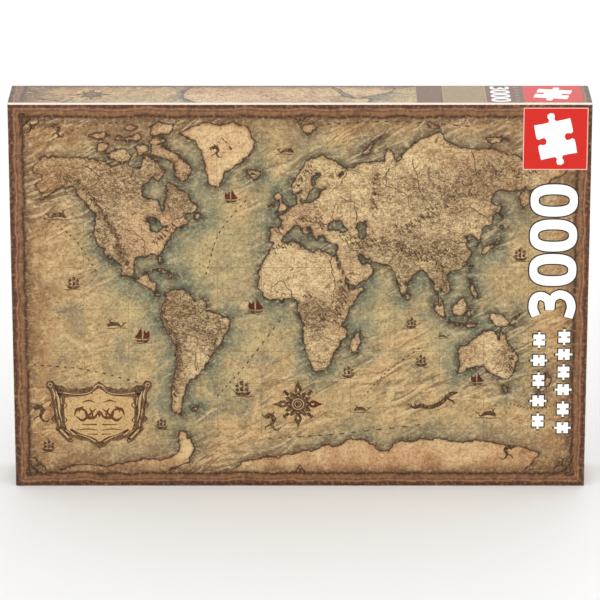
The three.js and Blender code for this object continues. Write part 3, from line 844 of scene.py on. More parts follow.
def stroke(points, widths, steps=6):
    """A pen stroke: a band whose edges lie half its width to each side of a smooth path."""
    path = through(points, steps)
    slope = np.gradient(path, axis=0)
    across = np.stack([-slope[:, 1], slope[:, 0]], 1) / np.hypot(*slope.T)[:, None]
    share = np.linspace(0, 1, len(path))
    half = np.interp(share, np.linspace(0, 1, len(widths)), widths)[:, None] / 2
    return path + across * half, path - across * half, False


def ring(middle, outer, inner, power=2, steps=40):
    """A closed band between two superellipses, whose half widths are given. The inner one may
    be nothing, which makes a disc."""
    turn = np.linspace(0, 2 * math.pi, steps, endpoint=False)
    circle = np.stack([np.cos(turn), np.sin(turn)], 1)
    shape = np.sign(circle) * np.abs(circle) ** (2 / power)
    return middle + shape * outer, middle + shape * inner, True


def patch(outline):
    """A filled outline."""
    return np.array(outline, float), None, True


def placed(bands, at, size=1, turn=0, mirror=1):
    """The same shapes mirrored, scaled, turned by an angle in degrees and moved."""
    c, s = math.cos(math.radians(turn)) * size, math.sin(math.radians(turn)) * size
    matrix = np.array([(c * mirror, s * mirror), (-s, c)])
    return [(a @ matrix + at, None if b is None else b @ matrix + at, closed)
            for a, b, closed in bands]


def print_on(name, face, level, material, bands, body="lid"):
    """Shapes as thin plates that stand level inks off a face, each with a top, a foot inside
    the paper, and sides. The top of a band is the ruled surface between its two edges."""
    origin, up, out = (np.array(part, float) for part in face)
    axes = np.stack([np.cross(up, out), up])
    points, faces, start = [], [], 0
    for k, (a, b, closed) in enumerate(bands):
        flat = a if b is None else np.concatenate([a, b])
        count, total = len(a), len(flat)
        top = level + k % LAYERS * LAYER  # so that no two tops lie in one plane where they cross
        points += [origin + flat @ axes + out * INK * height for height in (top, -1)]
        i = np.arange(count if closed else count - 1)
        j = (i + 1) % count
        side = np.stack([i, i + total, j + total, j], 1)
        if b is None:
            faces.append(np.arange(start, start + count).tolist())
            faces.append(np.arange(start + total, start + total + count)[::-1].tolist())
            quads = side
        else:
            face_up = np.stack([i, j, j + count, i + count], 1)
            quads = np.concatenate([face_up, face_up[:, ::-1] + total, side,
                                    side[:, ::-1] + count])
            if not closed:
                last = count - 1
                ends = [(0, count, count + total, total),
                        (last, last + total, last + total + count, last + count)]
                quads = np.concatenate([quads, ends])
        faces += (quads + start).tolist()
        start += 2 * total
    mesh = mesh_of(name, np.concatenate(points), faces)
    weld(mesh, outward=True)
    return finish_piece(name, mesh, material, body, smooth=False)


def jigsaw_outline(steps=3):
    """One interlocking piece, about 1 across: each side is six cubics that leave the corner, dip
    to a neck and swell to a round knob, out on two sides and in on the other two."""
    side = np.array([
        (0, 0), (0.25, 0), (0.47, -0.05), (0.43, 0.06), (0.4, 0.11), (0.35, 0.25), (0.5, 0.25),
        (0.65, 0.25), (0.6, 0.11), (0.57, 0.06), (0.53, -0.05), (0.75, 0), (1, 0)])
    t = np.linspace(0, 1, steps, endpoint=False)[:, None]
    runs = []
    for k in range(0, 12, 3):
        a, b, c, d = side[k:k + 4]
        runs.append(a * (1 - t) ** 3 + 3 * b * t * (1 - t) ** 2
                    + 3 * c * t**2 * (1 - t) + d * t**3)
    edge = np.concatenate(runs)
    outline = []
    for k, way in enumerate((1, -1, 1, -1)):
        angle = k * math.pi / 2
        turn = np.array([(math.cos(angle), math.sin(angle)), (-math.sin(angle), math.cos(angle))])
        outline.append((edge * (1, -way) - 0.5) @ turn)
    return np.concatenate(outline)


# ---------------------------------------------------------------- drawings on the map


def square_rigged_ship():
    """Hull, three masts with two square sails each, and ripples: about 15 wide and 13 high."""
    dark = [patch([(-6.6, 2.4), (-5.4, 0.2), (-4, -1.5), (3.8, -1.7), (5.4, -0.4), (6.6, 2.0),
                   (4.2, 1.0), (-3.4, 0.8)]),
            stroke([(-9, -1.9), (-4, -2.6), (1, -2.0), (8.5, -2.7)], [0.2, 0.9, 0.5, 0.2]),
            stroke([(5.6, 1.4), (9.2, 4.2)], [0.6, 0.3], 1)]
    for x, high in ((-3.4, 8.4), (0.4, 10.4), (3.8, 7.4)):
        dark.append(stroke([(x, 0.5), (x, high + 1.2)], [0.6, 0.4], 1))
        for low in (1.9, 1.9 + (high - 1.9) * 0.55):
            tall = (high - 1.9) * 0.42
            dark.append(patch([(x - 1.5, low), (x + 1.5, low + 0.2), (x + 2.0, low + tall / 2),
                               (x + 1.3, low + tall), (x - 1.2, low + tall),
                               (x - 0.5, low + tall / 2)]))
    return dark


def lateen_boat():
    """Two slanting three-cornered sails, given apart from the hull so that they can be red."""
    sails = [patch([(-0.6, 1.4), (-3.4, 1.5), (-6.2, 2.6), (-3.8, 5.6), (-1.0, 10.6),
                    (-0.2, 6.0)]),
             patch([(0.7, 1.4), (5.2, 1.6), (6.0, 4.4), (5.4, 8.4), (3.2, 6.2), (1.4, 9.2)])]
    hull = [patch([(-5.8, 0.9), (-3.8, -1.2), (3.6, -1.4), (6.2, 1.1), (0, 0.3)]),
            stroke([(-0.4, 0), (-0.3, 11.5)], [0.5, 0.3], 1),
            stroke([(-8, -1.6), (-2, -2.2), (3, -1.7), (8.5, -2.2)], [0.2, 0.7, 0.5, 0.2])]
    return sails, hull


def sea_serpent():
    """A long winding body with a crest of spines and a forked tail, about 40 long."""
    spine = [(-20, -2.5), (-15, -5), (-10, -3.5), (-5, -5), (1, -3.4), (6, -0.6), (9, 3),
             (13, 6), (18, 7)]
    body = [stroke(spine, [0.5, 2.2, 3.4, 3.4, 3.6, 3.2, 3.0, 3.4, 1.0])]
    path = through(spine, 3)
    for k in range(2, len(path) - 1, 2):
        x, y = path[k]
        body.append(stroke([(x, y), (x - 1.3, y + 3.4)], [0.9, 0.2], 1))
    body.append(stroke([(10, 2), (14, 0), (15, -2.5)], [1.4, 1.2, 0.3]))
    body.append(stroke([(-16, -4), (-21, -6.5)], [0.8, 0.2], 1))
    return body


def whale():
    """A hump, a tail out of the water and a spout: about 13 long."""
    return [stroke([(-6, -0.6), (-3, 1.2), (1.5, 1.0), (4.6, -0.8), (6.4, 1.6)],
                   [1.4, 3.4, 2.8, 0.9, 0.6]),
            stroke([(5.2, 2.2), (6.6, 1.5), (8, 2.4)], [0.4, 1.1, 0.4]),
            stroke([(-4, 2), (-4.6, 4.4), (-6, 4.8)], [0.6, 0.5, 0.2]),
            stroke([(-4, 2), (-3.4, 4.4), (-2, 4.8)], [0.6, 0.5, 0.2]),
            stroke([(-9, -1.8), (-3, -2.4), (3, -1.9), (9, -2.4)], [0.2, 0.6, 0.6, 0.2])]


def leaping_fish():
    """A curled body with fins, standing on its tail: about 12 high."""
    return [stroke([(-3.5, 4), (-0.5, 5.5), (2, 3), (0.6, -0.5), (2.6, -4), (5, -4.4)],
                   [2.6, 3.4, 3.0, 2.0, 1.2, 0.5]),
            stroke([(0.5, 5.8), (2.6, 8)], [1.6, 0.3], 1),
            stroke([(1, 0), (-3, -2), (-3.6, -4)], [1.0, 0.9, 0.3]),
            stroke([(-3.6, 4.6), (-6, 6)], [1.2, 0.3], 1),
            stroke([(4.6, -4.2), (6.6, -2.4)], [0.9, 0.2], 1)]


def mountain_marks(seed=5):
    """Small peaks in rows along every range: each is a line up to a peak and down, with a
    hatched shadow on its right."""
    peak_gap, row_step = 3.1, np.array([0.8, -2.1])
    random = np.random.default_rng(seed)
    peak = [stroke([(-1.4, -0.8), (0, 1.3), (1.5, -0.8)], [0.4, 0.7, 0.9], 1),
            stroke([(0.3, 0.6), (0.7, -0.8)], [0.7, 0.5], 1)]
    marks = []
    for points, rows in RANGES:
        path = through(on_map(points), 12)
        along = np.concatenate([[0], np.cumsum(np.hypot(*np.diff(path, axis=0).T))])
        for row in range(rows):
            at = np.arange(1 + row % 2, along[-1], peak_gap)
            spots = np.stack([np.interp(at, along, path[:, k]) for k in (0, 1)], 1)
            spots += row_step * (row - rows / 2)
            spots += random.normal(0, 0.8, spots.shape)
            for spot, size in zip(spots, random.uniform(0.65, 1.25, len(spots))):
                marks += placed(peak, spot, size)
    return marks


def rivers():
    """Thin winding lines that widen from source to mouth."""
    lines = []
    for k, points in enumerate(RIVERS):
        path = through(on_map(points), 4)
        n = np.arange(len(path))
        path[:, 0] += 0.7 * np.sin(2.1 * n + k)
        path[:, 1] += 0.7 * np.sin(1.7 * n + 2 * k)
        lines.append(stroke(path, [0.35, 0.8], 2))
    return lines


def graticule():
    """Thin lines of equal longitude and latitude, with gaps where the ink missed the paper."""
    lines = []
    for longitude in range(-165, 166, 30):
        ends = on_map([(longitude, -62), (longitude, 76)])
        lines.append(stroke(ends, [0.3, 0.3], 24))
    for latitude in (-60, -40, -23.4, 0, 23.4, 40, 60, 72):
        ends = on_map([(-168, latitude), (174, latitude)])
        lines.append(stroke(ends, [0.3, 0.3], 40))
    return lines


def frame_ornaments():
    """Dark scrolls in the sheet's corners and a small finial in the middle of its long sides."""
    corner_inset, finial_inset = 8, 9.5
    corner = [stroke([(0, 20), (2.2, 11), (6, 6), (11, 2.2), (20, 0)], [0.5, 1.5, 2.6, 1.5, 0.5]),
              stroke([(3, 15), (7.5, 14), (9, 10), (6.4, 7.6)], [0.4, 1.3, 1.3, 0.5]),
              stroke([(15, 3), (14, 7.5), (10, 9), (7.6, 6.4)], [0.4, 1.3, 1.3, 0.5]),
              stroke([(1, 8), (1, 1), (8, 1)], [0.6, 2.4, 0.6]),
              ring((10.5, 10.5), 1.5, 0.5, steps=10)]
    finial = [stroke([(-9, 0), (-4.5, 1.2), (-2, 4), (0, 8)], [0.5, 1.2, 1.4, 0.4]),
              stroke([(9, 0), (4.5, 1.2), (2, 4), (0, 8)], [0.5, 1.2, 1.4, 0.4]),
              ring((0, 3.2), (1.1, 1.8), 0, steps=10),
              stroke([(-14, 0.4), (14, 0.4)], [0.3, 0.3], 4)]
    marks = []
    for x in (-1, 1):
        for z in (-1, 1):
            spot = (x * (LID_WIDTH / 2 - corner_inset), MIDDLE_Z + z * (MIDDLE_Z - corner_inset))
            marks += placed(corner, spot, turn=90 * (1 + z), mirror=x * z)
    marks += placed(finial, (0, finial_inset))
    marks += placed(finial, (0, LID_HEIGHT - finial_inset), turn=180)
    return marks


def compass_rose():
    """Four leaf points, four curled ones and a toothed rosette. Returns dark, red and pale
    shapes, about 38 across."""
    dark, red, pale = [], [], []
    leaf = [(0, 19.5), (1.0, 16), (2.7, 13), (2.9, 11), (1.6, 8), (-1.6, 8), (-2.9, 11),
            (-2.7, 13), (-1.0, 16)]
    curl = [stroke([(0, 10), (0.4, 12.5), (-0.6, 14.6), (-2.2, 13.6)], [2.4, 1.8, 1.2, 0.4])]
    for k in range(4):
        (red if k == 3 else dark).extend(placed([patch(leaf)], (0, 0), turn=90 * k))
        pale += placed([ring((0, 11.2), (0.8, 1.3), 0, steps=10)], (0, 0), turn=90 * k)
        dark += placed(curl, (0, 0), turn=90 * k + 45)
        dark += placed(curl, (0, 0), turn=90 * k + 45, mirror=-1)
    turn = np.linspace(0, 2 * math.pi, 48, endpoint=False)
    reach = 9.6 + 1.8 * np.cos(12 * turn)
    dark.append(patch(np.stack([reach * np.sin(turn), reach * np.cos(turn)], 1)))
    pale += [ring((0, 0), 4.5, 3.9), ring((0, 0), 2.6, 2.2)]
    pale += [ring((6.8 * math.sin(a), 6.8 * math.cos(a)), 0.45, 0, steps=8)
             for a in np.radians(np.arange(0, 360, 45))]
    return dark, red, pale


def cartouche():
    """A strapwork frame round a blank panel with flourishes, about 76 wide and 50 high. Returns
    the frame's body, the panel, the frame's dark lines, the light on it and the flourishes."""
    half_body = [(0, 28), (3.4, 25.6), (5, 23), (9, 23.6), (13, 20.5), (17, 23), (22, 21),
                 (28, 24.6), (32, 25), (35, 28.6), (39.4, 27), (39.6, 22.4), (35.6, 18), (36.6, 9),
                 (33.6, 5), (35, -2), (32.4, -6), (33.4, -10.5), (24, -21), (20, -17), (14, -19.6),
                 (9, -19.5), (4, -24), (0, -26)]
    body = [patch([(-x, y) for x, y in half_body] + half_body[-2:0:-1])]
    half_panel = [(0, 22), (6, 19), (13, 16), (25, 15), (26.5, 8), (26, -2), (27, -11),
                  (20, -14.5), (10, -17), (0, -22)]
    panel = [patch(half_panel + [(-x, y) for x, y in half_panel[-2:0:-1]])]
    half_dark = [
        stroke([(0, 25), (-5, 20), (-12, 17.4), (-21, 17.6), (-32, 20)], [2.2, 1.8, 2.6, 2, 3.4]),
        stroke([(0, -22.5), (-6, -18), (-14, -15.4), (-22, -10.5)], [3.2, 2.6, 2.6, 1.8]),
        stroke([(-37, 25.5), (-32, 21), (-30, 12), (-29.5, 2), (-27.5, -5), (-26, -11)],
               [2.4, 7, 5, 3.6, 2.4, 3.2]),
        stroke([(-31, -8.5), (-22, -18.5)], [4.6, 4.2], 1),
        ring((-36.6, 25.2), 3.2, 1.9, steps=16),
        ring((-36.6, 25.2), 0.9, 0, steps=8),
        stroke([(-33.5, 21), (-31, 24), (-27, 23), (-27.6, 20)], [0.6, 1.4, 1.1, 0.5]),
        stroke([(-33.6, 1), (-35.6, -2), (-33.6, -5)], [0.5, 1.2, 0.5]),
        stroke([(-34.6, 12), (-37, 9), (-35, 6)], [0.5, 1.2, 0.5]),
        stroke([(-27, 12), (-24.4, 9), (-26.6, 6)], [0.4, 1.0, 0.4]),
        stroke([(-27, 0), (-24.6, -3), (-27, -6)], [0.4, 1.0, 0.4]),
        stroke([(-5, 18), (-9, 21.5), (-14, 21), (-13, 18.8)], [1, 1.2, 1, 0.4]),
        stroke([(0, 27.4), (-3, 23.6), (-8, 23)], [0.6, 1.4, 0.3]),
        stroke([(-35, 14), (-33.5, 4), (-33, -6)], [0.8, 1.8, 0.4]),
        stroke([(-38.6, 25), (-35.4, 16), (-33.8, 4), (-31.4, -7)], [0.6, 0.9, 0.7, 0.5]),
        stroke([(-27.4, 14.5), (-27.2, 4), (-28.4, -7), (-21, -13.6)], [0.8, 0.7, 0.8, 0.6]),
        stroke([(-34, 19), (-28.5, 17.5)], [0.5, 1.2], 1),
        stroke([(-32.8, 9), (-28.4, 8)], [0.4, 1.0], 1),
        stroke([(-31.8, -1), (-27.8, -2)], [0.4, 1.0], 1),
        stroke([(-24, 23.5), (-19, 20), (-16, 22.5)], [0.5, 1.3, 0.4]),
        ring((-31.5, -10), 1.7, 0.7, steps=12),
        ring((-22, -19.4), 1.7, 0.7, steps=12),
    ]
    half_flourish = [
        stroke([(-19, 0.6), (-16.5, 5.6), (-11, 4.8), (-8.6, -0.6), (-3.5, -0.8), (-1, 3.8)],
               [0.6, 2.6, 1.5, 3.0, 2.0, 0.7]),
        stroke([(-17.5, 0), (-12.5, -3.2), (-6, 2.8), (-2.5, 6)], [0.5, 2.3, 1.5, 0.6]),
        stroke([(-15.4, 3), (-14, 6.6), (-11.6, 7.6)], [0.5, 1.6, 0.6]),
        stroke([(-7.5, 6.4), (-5.6, 3.2), (-5, -1.6)], [0.6, 1.8, 0.8]),
        stroke([(-13, 11), (-8, 12.6), (-3, 11)], [0.4, 1.3, 0.4]),
        stroke([(-13, -6.6), (-2, -6.6)], [0.5, 1.2], 1),
        stroke([(-17, -11), (-9, -10.2), (-1.5, -11.2)], [0.4, 1.0, 0.4]),
        stroke([(-9, -14.2), (-1.5, -14.4)], [0.4, 1.0], 1),
    ]
    half_light = [
        stroke([(-35, 22), (-33.4, 17), (-34, 13)], [0.5, 1.3, 0.4]),
        stroke([(-32.6, 6), (-31.6, 0.5)], [0.8, 0.5], 1),
        stroke([(-30.6, -3), (-30, -8)], [0.8, 0.5], 1),
        stroke([(-28.6, 15), (-28, 9.5)], [0.7, 0.4], 1),
        stroke([(-4.6, 22.4), (-2.4, 24.2), (0, 25.2)], [0.4, 1.0, 0.8]),
        ring((-36.6, 25.2), 1.7, 1.1, steps=12),
        stroke([(-32.4, 20), (-30.4, 12), (-30, 3), (-28.2, -4)], [0.6, 1.8, 1.0, 0.4]),
        stroke([(-29.6, -10.6), (-23.4, -17.4)], [1.4, 1.2], 1),
        stroke([(-2, 23.6), (-8, 18.6), (-18, 17.6), (-27, 18.8)], [0.3, 0.7, 0.6, 0.9]),
        stroke([(-3, -20.4), (-9, -16.9), (-17, -14)], [0.9, 0.8, 0.3]),
    ]
    dark = half_dark + placed(half_dark, (0, 0), mirror=-1)
    flourish = half_flourish + placed(half_flourish, (0, 0), mirror=-1)
    flourish.append(patch([(0, 5), (1.7, 2), (0, -1), (-1.7, 2)]))
    light = half_light + placed(half_light, (0, 0), mirror=-1)
    return body, panel, dark, light, flourish


def route(points, steps=14):
    """A sailing route: a row of short dashes along a smooth path."""
    path = through(points, steps)
    return [stroke([path[k], path[k] + (path[k + 1] - path[k]) * 0.8], [0.9, 0.9], 1)
            for k in range(0, len(path) - 1, 2)]


# Where the drawings stand on the panel, with their size and which way round they are
SHIPS = [((-169, 158), 0.8, 1), ((-104, 47), 0.7, -1), ((-190, 29), 0.8, 1), ((83, 127), 0.7, 1),
         ((91, 97), 0.75, -1), ((36, 88), 0.75, 1), ((-43, 74), 1.0, -1), ((164, 180), 0.8, -1)]
BOATS = [((-118, 116), 0.95, 1), ((-33, 139), 0.95, -1), ((-51, 225), 0.8, -1),
         ((133, 82), 0.8, -1)]
WHALES = [((-138, 128), 1.0, 1), ((46, 61), 0.9, 1), ((141, 57), 1.1, -1), ((-10, 263), 0.9, -1),
          ((107, 119), 0.6, 1), ((-34, 245), 0.5, 1), ((-180, 213), 1.1, -1)]
FISH = [((-196, 57), 1.2, 1), ((-22, 50), 1.2, 1), ((-179, 278), 0.9, 1), ((157, 26), 1.0, -1),
        ((-62, 262), 0.8, 1)]
ROUTES = [[(-190, 212), (-168, 196), (-150, 168)], [(-70, 168), (-60, 200), (-38, 228)],
          [(-62, 72), (-40, 98), (-12, 136)], [(-200, 97), (-160, 93), (-118, 82)],
          [(48, 72), (66, 92), (92, 112)], [(-24, 38), (30, 42), (96, 50)],
          [(-186, 270), (-160, 282), (-126, 286)], [(20, 284), (70, 286), (130, 282)],
          [(158, 66), (176, 62), (196, 66)]]

# Ranges of mountains as longitude and latitude, with their number of rows
RANGES = [
    ([(-150, 63), (-138, 62), (-128, 57), (-120, 50), (-114, 44), (-109, 37), (-106, 30),
      (-101, 22)], 4),
    ([(-85, 35), (-79, 39), (-72, 44)], 2),
    ([(-122, 41), (-119, 36), (-116, 32)], 1),
    ([(-76, 7), (-78, -2), (-76, -11), (-69, -18), (-69, -28), (-71, -38), (-73, -48)], 3),
    ([(-48, -14), (-44, -20), (-50, -26)], 2),
    ([(-8, 31), (0, 34), (8, 35)], 2),
    ([(7, 45), (14, 47), (24, 46), (24, 42)], 2),
    ([(-2, 42), (-5, 40)], 2),
    ([(8, 60), (13, 64), (20, 68)], 2),
    ([(58, 51), (60, 58), (62, 65)], 2),
    ([(36, 38), (44, 38), (50, 34), (58, 36), (68, 36)], 3),
    ([(72, 35), (80, 31), (90, 28.5), (98, 29)], 4),
    ([(74, 41), (84, 43), (92, 48), (100, 51)], 3),
    ([(106, 52), (114, 56), (126, 57)], 2),
    ([(98, 34), (104, 30), (110, 32)], 2),
    ([(128, 64), (136, 67), (142, 64)], 2),
    ([(150, 66), (158, 64), (168, 66)], 2),
    ([(37, 13), (39, 8), (36, 1), (33, -8)], 3),
    ([(29, -31), (24, -33)], 2),
    ([(13, 6), (18, 7)], 1),
    ([(22, -2), (26, -8), (20, -12)], 2),
    ([(145, -19), (150, -26), (148, -35)], 2),
    ([(43, 16), (44, 20)], 2),
    ([(-50, 72), (-42, 75), (-34, 72)], 1),
    ([(75, 18), (76, 12)], 1),
    ([(100, 24), (104, 20), (107, 15)], 2),
]
# Rivers as longitude and latitude, from source to mouth
RIVERS = [
    [(-110, 44), (-100, 42), (-92, 38), (-91, 33), (-90, 29)],
    [(-128, 60), (-122, 64), (-134, 68)], [(-74, 46), (-68, 48), (-62, 49)],
    [(-76, -9), (-72, -4), (-64, -3), (-57, -2), (-51, 0)], [(-56, -16), (-58, -25), (-58, -34)],
    [(-68, 4), (-66, 8), (-62, 9)], [(-46, -20), (-43, -12), (-37, -10)],
    [(31, 0), (32, 8), (33, 16), (31, 22), (31, 31)], [(27, -9), (24, 1), (17, -1), (13, -6)],
    [(-9, 10), (-3, 16), (4, 11), (6, 5)], [(24, -14), (30, -17), (36, -19)],
    [(24, -29), (18, -29)], [(9, 48), (19, 46), (29, 45)], [(37, 56), (46, 54), (48, 46)],
    [(84, 50), (80, 58), (68, 61), (70, 67)], [(94, 52), (90, 60), (86, 70)],
    [(106, 54), (116, 60), (128, 63), (126, 72)], [(112, 50), (124, 52), (133, 48), (141, 52)],
    [(98, 34), (106, 38), (114, 36), (119, 37)], [(95, 33), (104, 29), (112, 30), (121, 32)],
    [(98, 28), (103, 19), (106, 11)], [(80, 30), (86, 25), (90, 23)],
    [(76, 33), (71, 29), (68, 25)],
    [(40, 38), (43, 34), (48, 31)], [(148, -27), (143, -33), (139, -36)],
    [(30, 58), (38, 62), (42, 66)], [(34, 54), (32, 49), (33, 46)],
]


def draw_the_map():
    """Everything drawn over the map on the front."""
    dark, red, pale = [], [], []
    for at, size, mirror in SHIPS:
        dark += placed(square_rigged_ship(), at, size, mirror=mirror)
    for at, size, mirror in BOATS:
        sails, hull = lateen_boat()
        red += placed(sails, at, size, mirror=mirror)
        dark += placed(hull, at, size, mirror=mirror)
    for creature, spots in ((whale, WHALES), (leaping_fish, FISH)):
        for at, size, mirror in spots:
            dark += placed(creature(), at, size, mirror=mirror)
    dark += placed(sea_serpent(), (101, 68))
    for points in ROUTES:
        dark += route(points)
    rose_dark, rose_red, rose_pale = compass_rose()
    strapwork, panel, frame_dark, frame_light, flourish = cartouche()
    middle, rose_place = (-151, 56), (-1.5, 65.7)
    dark += placed(rose_dark, rose_place)
    red += placed(rose_red, rose_place)
    pale += placed(rose_pale, rose_place) + placed(frame_light, middle)
    for name, level, ink, shapes in (
        ("graticule", 0.4, faint_ink, graticule()),
        ("mountains", 1, hill_ink, mountain_marks()),
        ("rivers", 1, hill_ink, rivers()),
        ("frame_ornaments", 1, frame_mark_ink, frame_ornaments()),
        ("cartouche_strapwork", 0.5, strapwork_ink, placed(strapwork, middle)),
        ("cartouche_panel", 1, parchment_ink, placed(panel, middle)),
        ("cartouche_frame", 2, brown_ink, placed(frame_dark, middle)),
        ("cartouche_flourishes", 2, rust_ink, placed(flourish, middle)),
        ("pen_drawings", 2, brown_ink, dark),
        ("red_sails", 2, red_brown_ink, red),
        ("pale_drawings", 3, pale_ink, pale),
    ):
        print_on(name, FRONT_FACE, level, ink, shapes)


# ---------------------------------------------------------------- labels and ornaments


def three(thick):
    """The figure 3, about 35 high: two bowls of one thickness, whose outer edges stop where
    they meet at the waist."""
    waist = 1.2
    upper = [(-8.4, 12.0), (-2, 14.3), (5, 13), (7.2, 8.4), (4.0, 3.2), (-3.4, 1.6)]
    lower = [(-3.4, 1.6), (4.6, 0.4), (8.4, -5.6), (5.4, -12), (-1.5, -14.3), (-9.8, -12.2)]
    outer_upper, inner_upper, _ = stroke(upper, [thick, thick])
    outer_lower, inner_lower, _ = stroke(lower, [thick, thick])
    return [patch(np.concatenate([
        outer_upper[outer_upper[:, 1] > waist], outer_lower[outer_lower[:, 1] < waist],
        inner_lower[::-1], inner_upper[::-1]]))]


def piece_count(swell):
    """The number of pieces, 3000, on one line: 105 wide and 35 high, with every edge moved out
    by swell."""
    bands = placed(three(6.4 + 2 * swell), (-41, 0))
    for x in (-13.5, 13.3, 40.4):
        outer = np.array([12.4, 17.5]) + swell
        inner = np.array([4.9, 11.6]) - swell
        bands.append(ring((x, 0), outer, inner, power=2.6))
    return bands


def rectangle(x0, x1, y0, y1):
    """A filled upright rectangle between two widths and two heights."""
    return patch([(x0, y0), (x1, y0), (x1, y1), (x0, y1)])


def puzzle_mark(at, size, turn=0):
    """The outline of one interlocking piece."""
    return placed([patch(jigsaw_outline())], at, size, turn)


def label_the_front():
    """Red label, piece count and two rows of small marks, up the right-hand side."""
    left, right, low, high = 165, 211.3, 249.7, 295.8  # the red label
    rim = 0.7  # of its pale edge
    label_edge = rectangle(left - rim, right + rim, low - rim, high + rim)
    print_on("label_edge", FRONT_FACE, 1, label_edge_ink, [label_edge])
    print_on("label", FRONT_FACE, 2, label_red_ink, [rectangle(left, right, low, high)])
    print_on("label_mark", FRONT_FACE, 3, white_ink, puzzle_mark((188.2, 272.6), 27, 12))
    middle, outline = (188.1, 185), 1.0
    wide_count = placed(piece_count(outline), middle, turn=90)
    print_on("count_outline", FRONT_FACE, 2, outline_ink, wide_count)
    print_on("count", FRONT_FACE, 3, white_ink, placed(piece_count(0), middle, turn=90))
    mark_size, outline_size = 8.6, 10.4
    marks, outlines = [], []
    for x, heights in ((179, (116.6, 100.4, 84.5, 68.3, 52.1)),
                       (197.7, (118.8, 105.2, 91.2, 77.2, 61.8, 46.8))):
        for k, z in enumerate(heights):
            marks += puzzle_mark((x, z), mark_size, 90 * k)
            outlines += puzzle_mark((x, z), outline_size, 90 * k)
    print_on("mark_outlines", FRONT_FACE, 2, outline_ink, outlines)
    print_on("marks", FRONT_FACE, 3, white_ink, marks)


def label_a_wall(side, face, end):
    """The wall's end panels: a brown band, gold lines, a plain panel, the piece count on a dark
    panel and the red label, given by how far the wall's end is from its middle."""
    shift = end - LID_WIDTH / 2  # from places on the longest wall to places on this one
    fold, rim = 1.2, LID_DEPTH - 1.2  # between which the panels lie
    half_line, middle_depth = 0.35, 25.5

    def panels(spans):
        """Upright panels over the whole depth of the wall, from their two ends along it."""
        return [rectangle(shift + x0, shift + x1, fold, rim) for x0, x1 in spans]

    print_on(f"{side}_plain_panel", face, 1, olive_ink, panels([(106, 137)]))
    print_on(f"{side}_brown_panels", face, 1, panel_brown_ink,
             panels([(86, 105.4), (137.4, 165)]))
    print_on(f"{side}_gold_lines", face, 2, gold_ink,
             panels([(x - half_line, x + half_line) for x in (85.8, 105.7, 137.2)]))
    print_on(f"{side}_label", face, 1, label_red_ink,
             [rectangle(shift + 165.6, shift + 208.7, 3, 48)])
    print_on(f"{side}_label_mark", face, 2, white_ink,
             puzzle_mark((shift + 187.1, middle_depth), 25, -12))
    print_on(f"{side}_count", face, 2, white_ink,
             placed(piece_count(0), (shift + 148.2, middle_depth), 0.415, -90))
    marks = []
    for k in range(6):
        marks += puzzle_mark((shift + 160.5, 7 + 7.4 * k), 3.6, 90 * k)
    print_on(f"{side}_marks", face, 2, panel_mark_ink, marks)
    dark, red, pale = compass_rose()
    rose_place, rose_size = (61 - end, 24), 0.72
    print_on(f"{side}_rose", face, 1, brown_ink, placed(dark + red, rose_place, rose_size))
    print_on(f"{side}_rose_rings", face, 2, pale_ink, placed(pale, rose_place, rose_size))


def print_the_tray():
    """A rose in a ring and corner flourishes, in gold on the tray's back."""
    face = ((0, TRAY_HIGH[1], 0), (0, 0, 1), (0, 1, 0))
    corner_inset, rose_size = 18, 2.2
    dark, red, pale = compass_rose()
    corner = [stroke([(0, 22), (1, 10), (6, 4), (10, 1), (22, 0)], [0.6, 1.6, 2.4, 1.6, 0.6]),
              stroke([(4, 12), (8, 12), (9.5, 8.5), (7, 7)], [0.5, 1.4, 1.1, 0.4]),
              stroke([(12, 4), (12, 8), (8.5, 9.5), (7, 7)], [0.5, 1.4, 1.1, 0.4])]
    gold = placed(dark + red + [ring((0, 0), 23, 22.2)], (0, MIDDLE_Z), rose_size)
    for x in (-1, 1):
        for z in (-1, 1):
            spot = (x * (corner_inset - TRAY_WIDTH / 2),
                    MIDDLE_Z + z * (corner_inset - TRAY_HEIGHT / 2))
            turned = placed(corner, (0, 0), mirror=x)
            if z < 0:
                turned = placed(turned, (0, 0), turn=180, mirror=-1)
            gold += placed(turned, spot)
    rings = placed(pale, (0, MIDDLE_Z), rose_size)
    print_on("tray_ornament", face, 1, gold_ink, gold, "tray")
    print_on("tray_rose_rings", face, 3, panel_brown_ink, rings, "tray")


# ---------------------------------------------------------------- what the box holds

SEAL = 0.5  # half the thickness of a bag at its sealed edges
PIECE_REACH = 12  # from a loose piece's middle to its knobs
FILM_FOLD = 1.1  # depth of the film's wrinkles
FILM_INSIDE = 0.995  # share of the bag's depth that the film keeps to
PIECE = 19.4  # size of a loose piece, and the thickness of its board
PIECE_BOARD = 2.0
HEAP_LAYERS = 13
HEAP_ACROSS = 10  # pieces side by side in a layer
PIECES_IN_A_HEAP = 1480
HEAP_START = np.array([14, 3.5, 13])  # from the heap's lowest corner to the first middle
HEAP_END = np.array([14, 3.5, 11])  # from the last middle to its highest corner
HEAP_JITTER = (4.2, 0.9, 4.2)
NEAR_SEAL = 0.985  # place along a bag's half beyond which it counts as no thinner


def fullness(u, v):
    """How thick a pillow bag is at a place on it, from 1 in the middle to 0 at the seals: the
    root of 1 minus the eighth power of the place along each side."""
    return np.sqrt(np.clip(1 - np.abs(u) ** 8, 0, 1) * np.clip(1 - np.abs(v) ** 8, 0, 1))


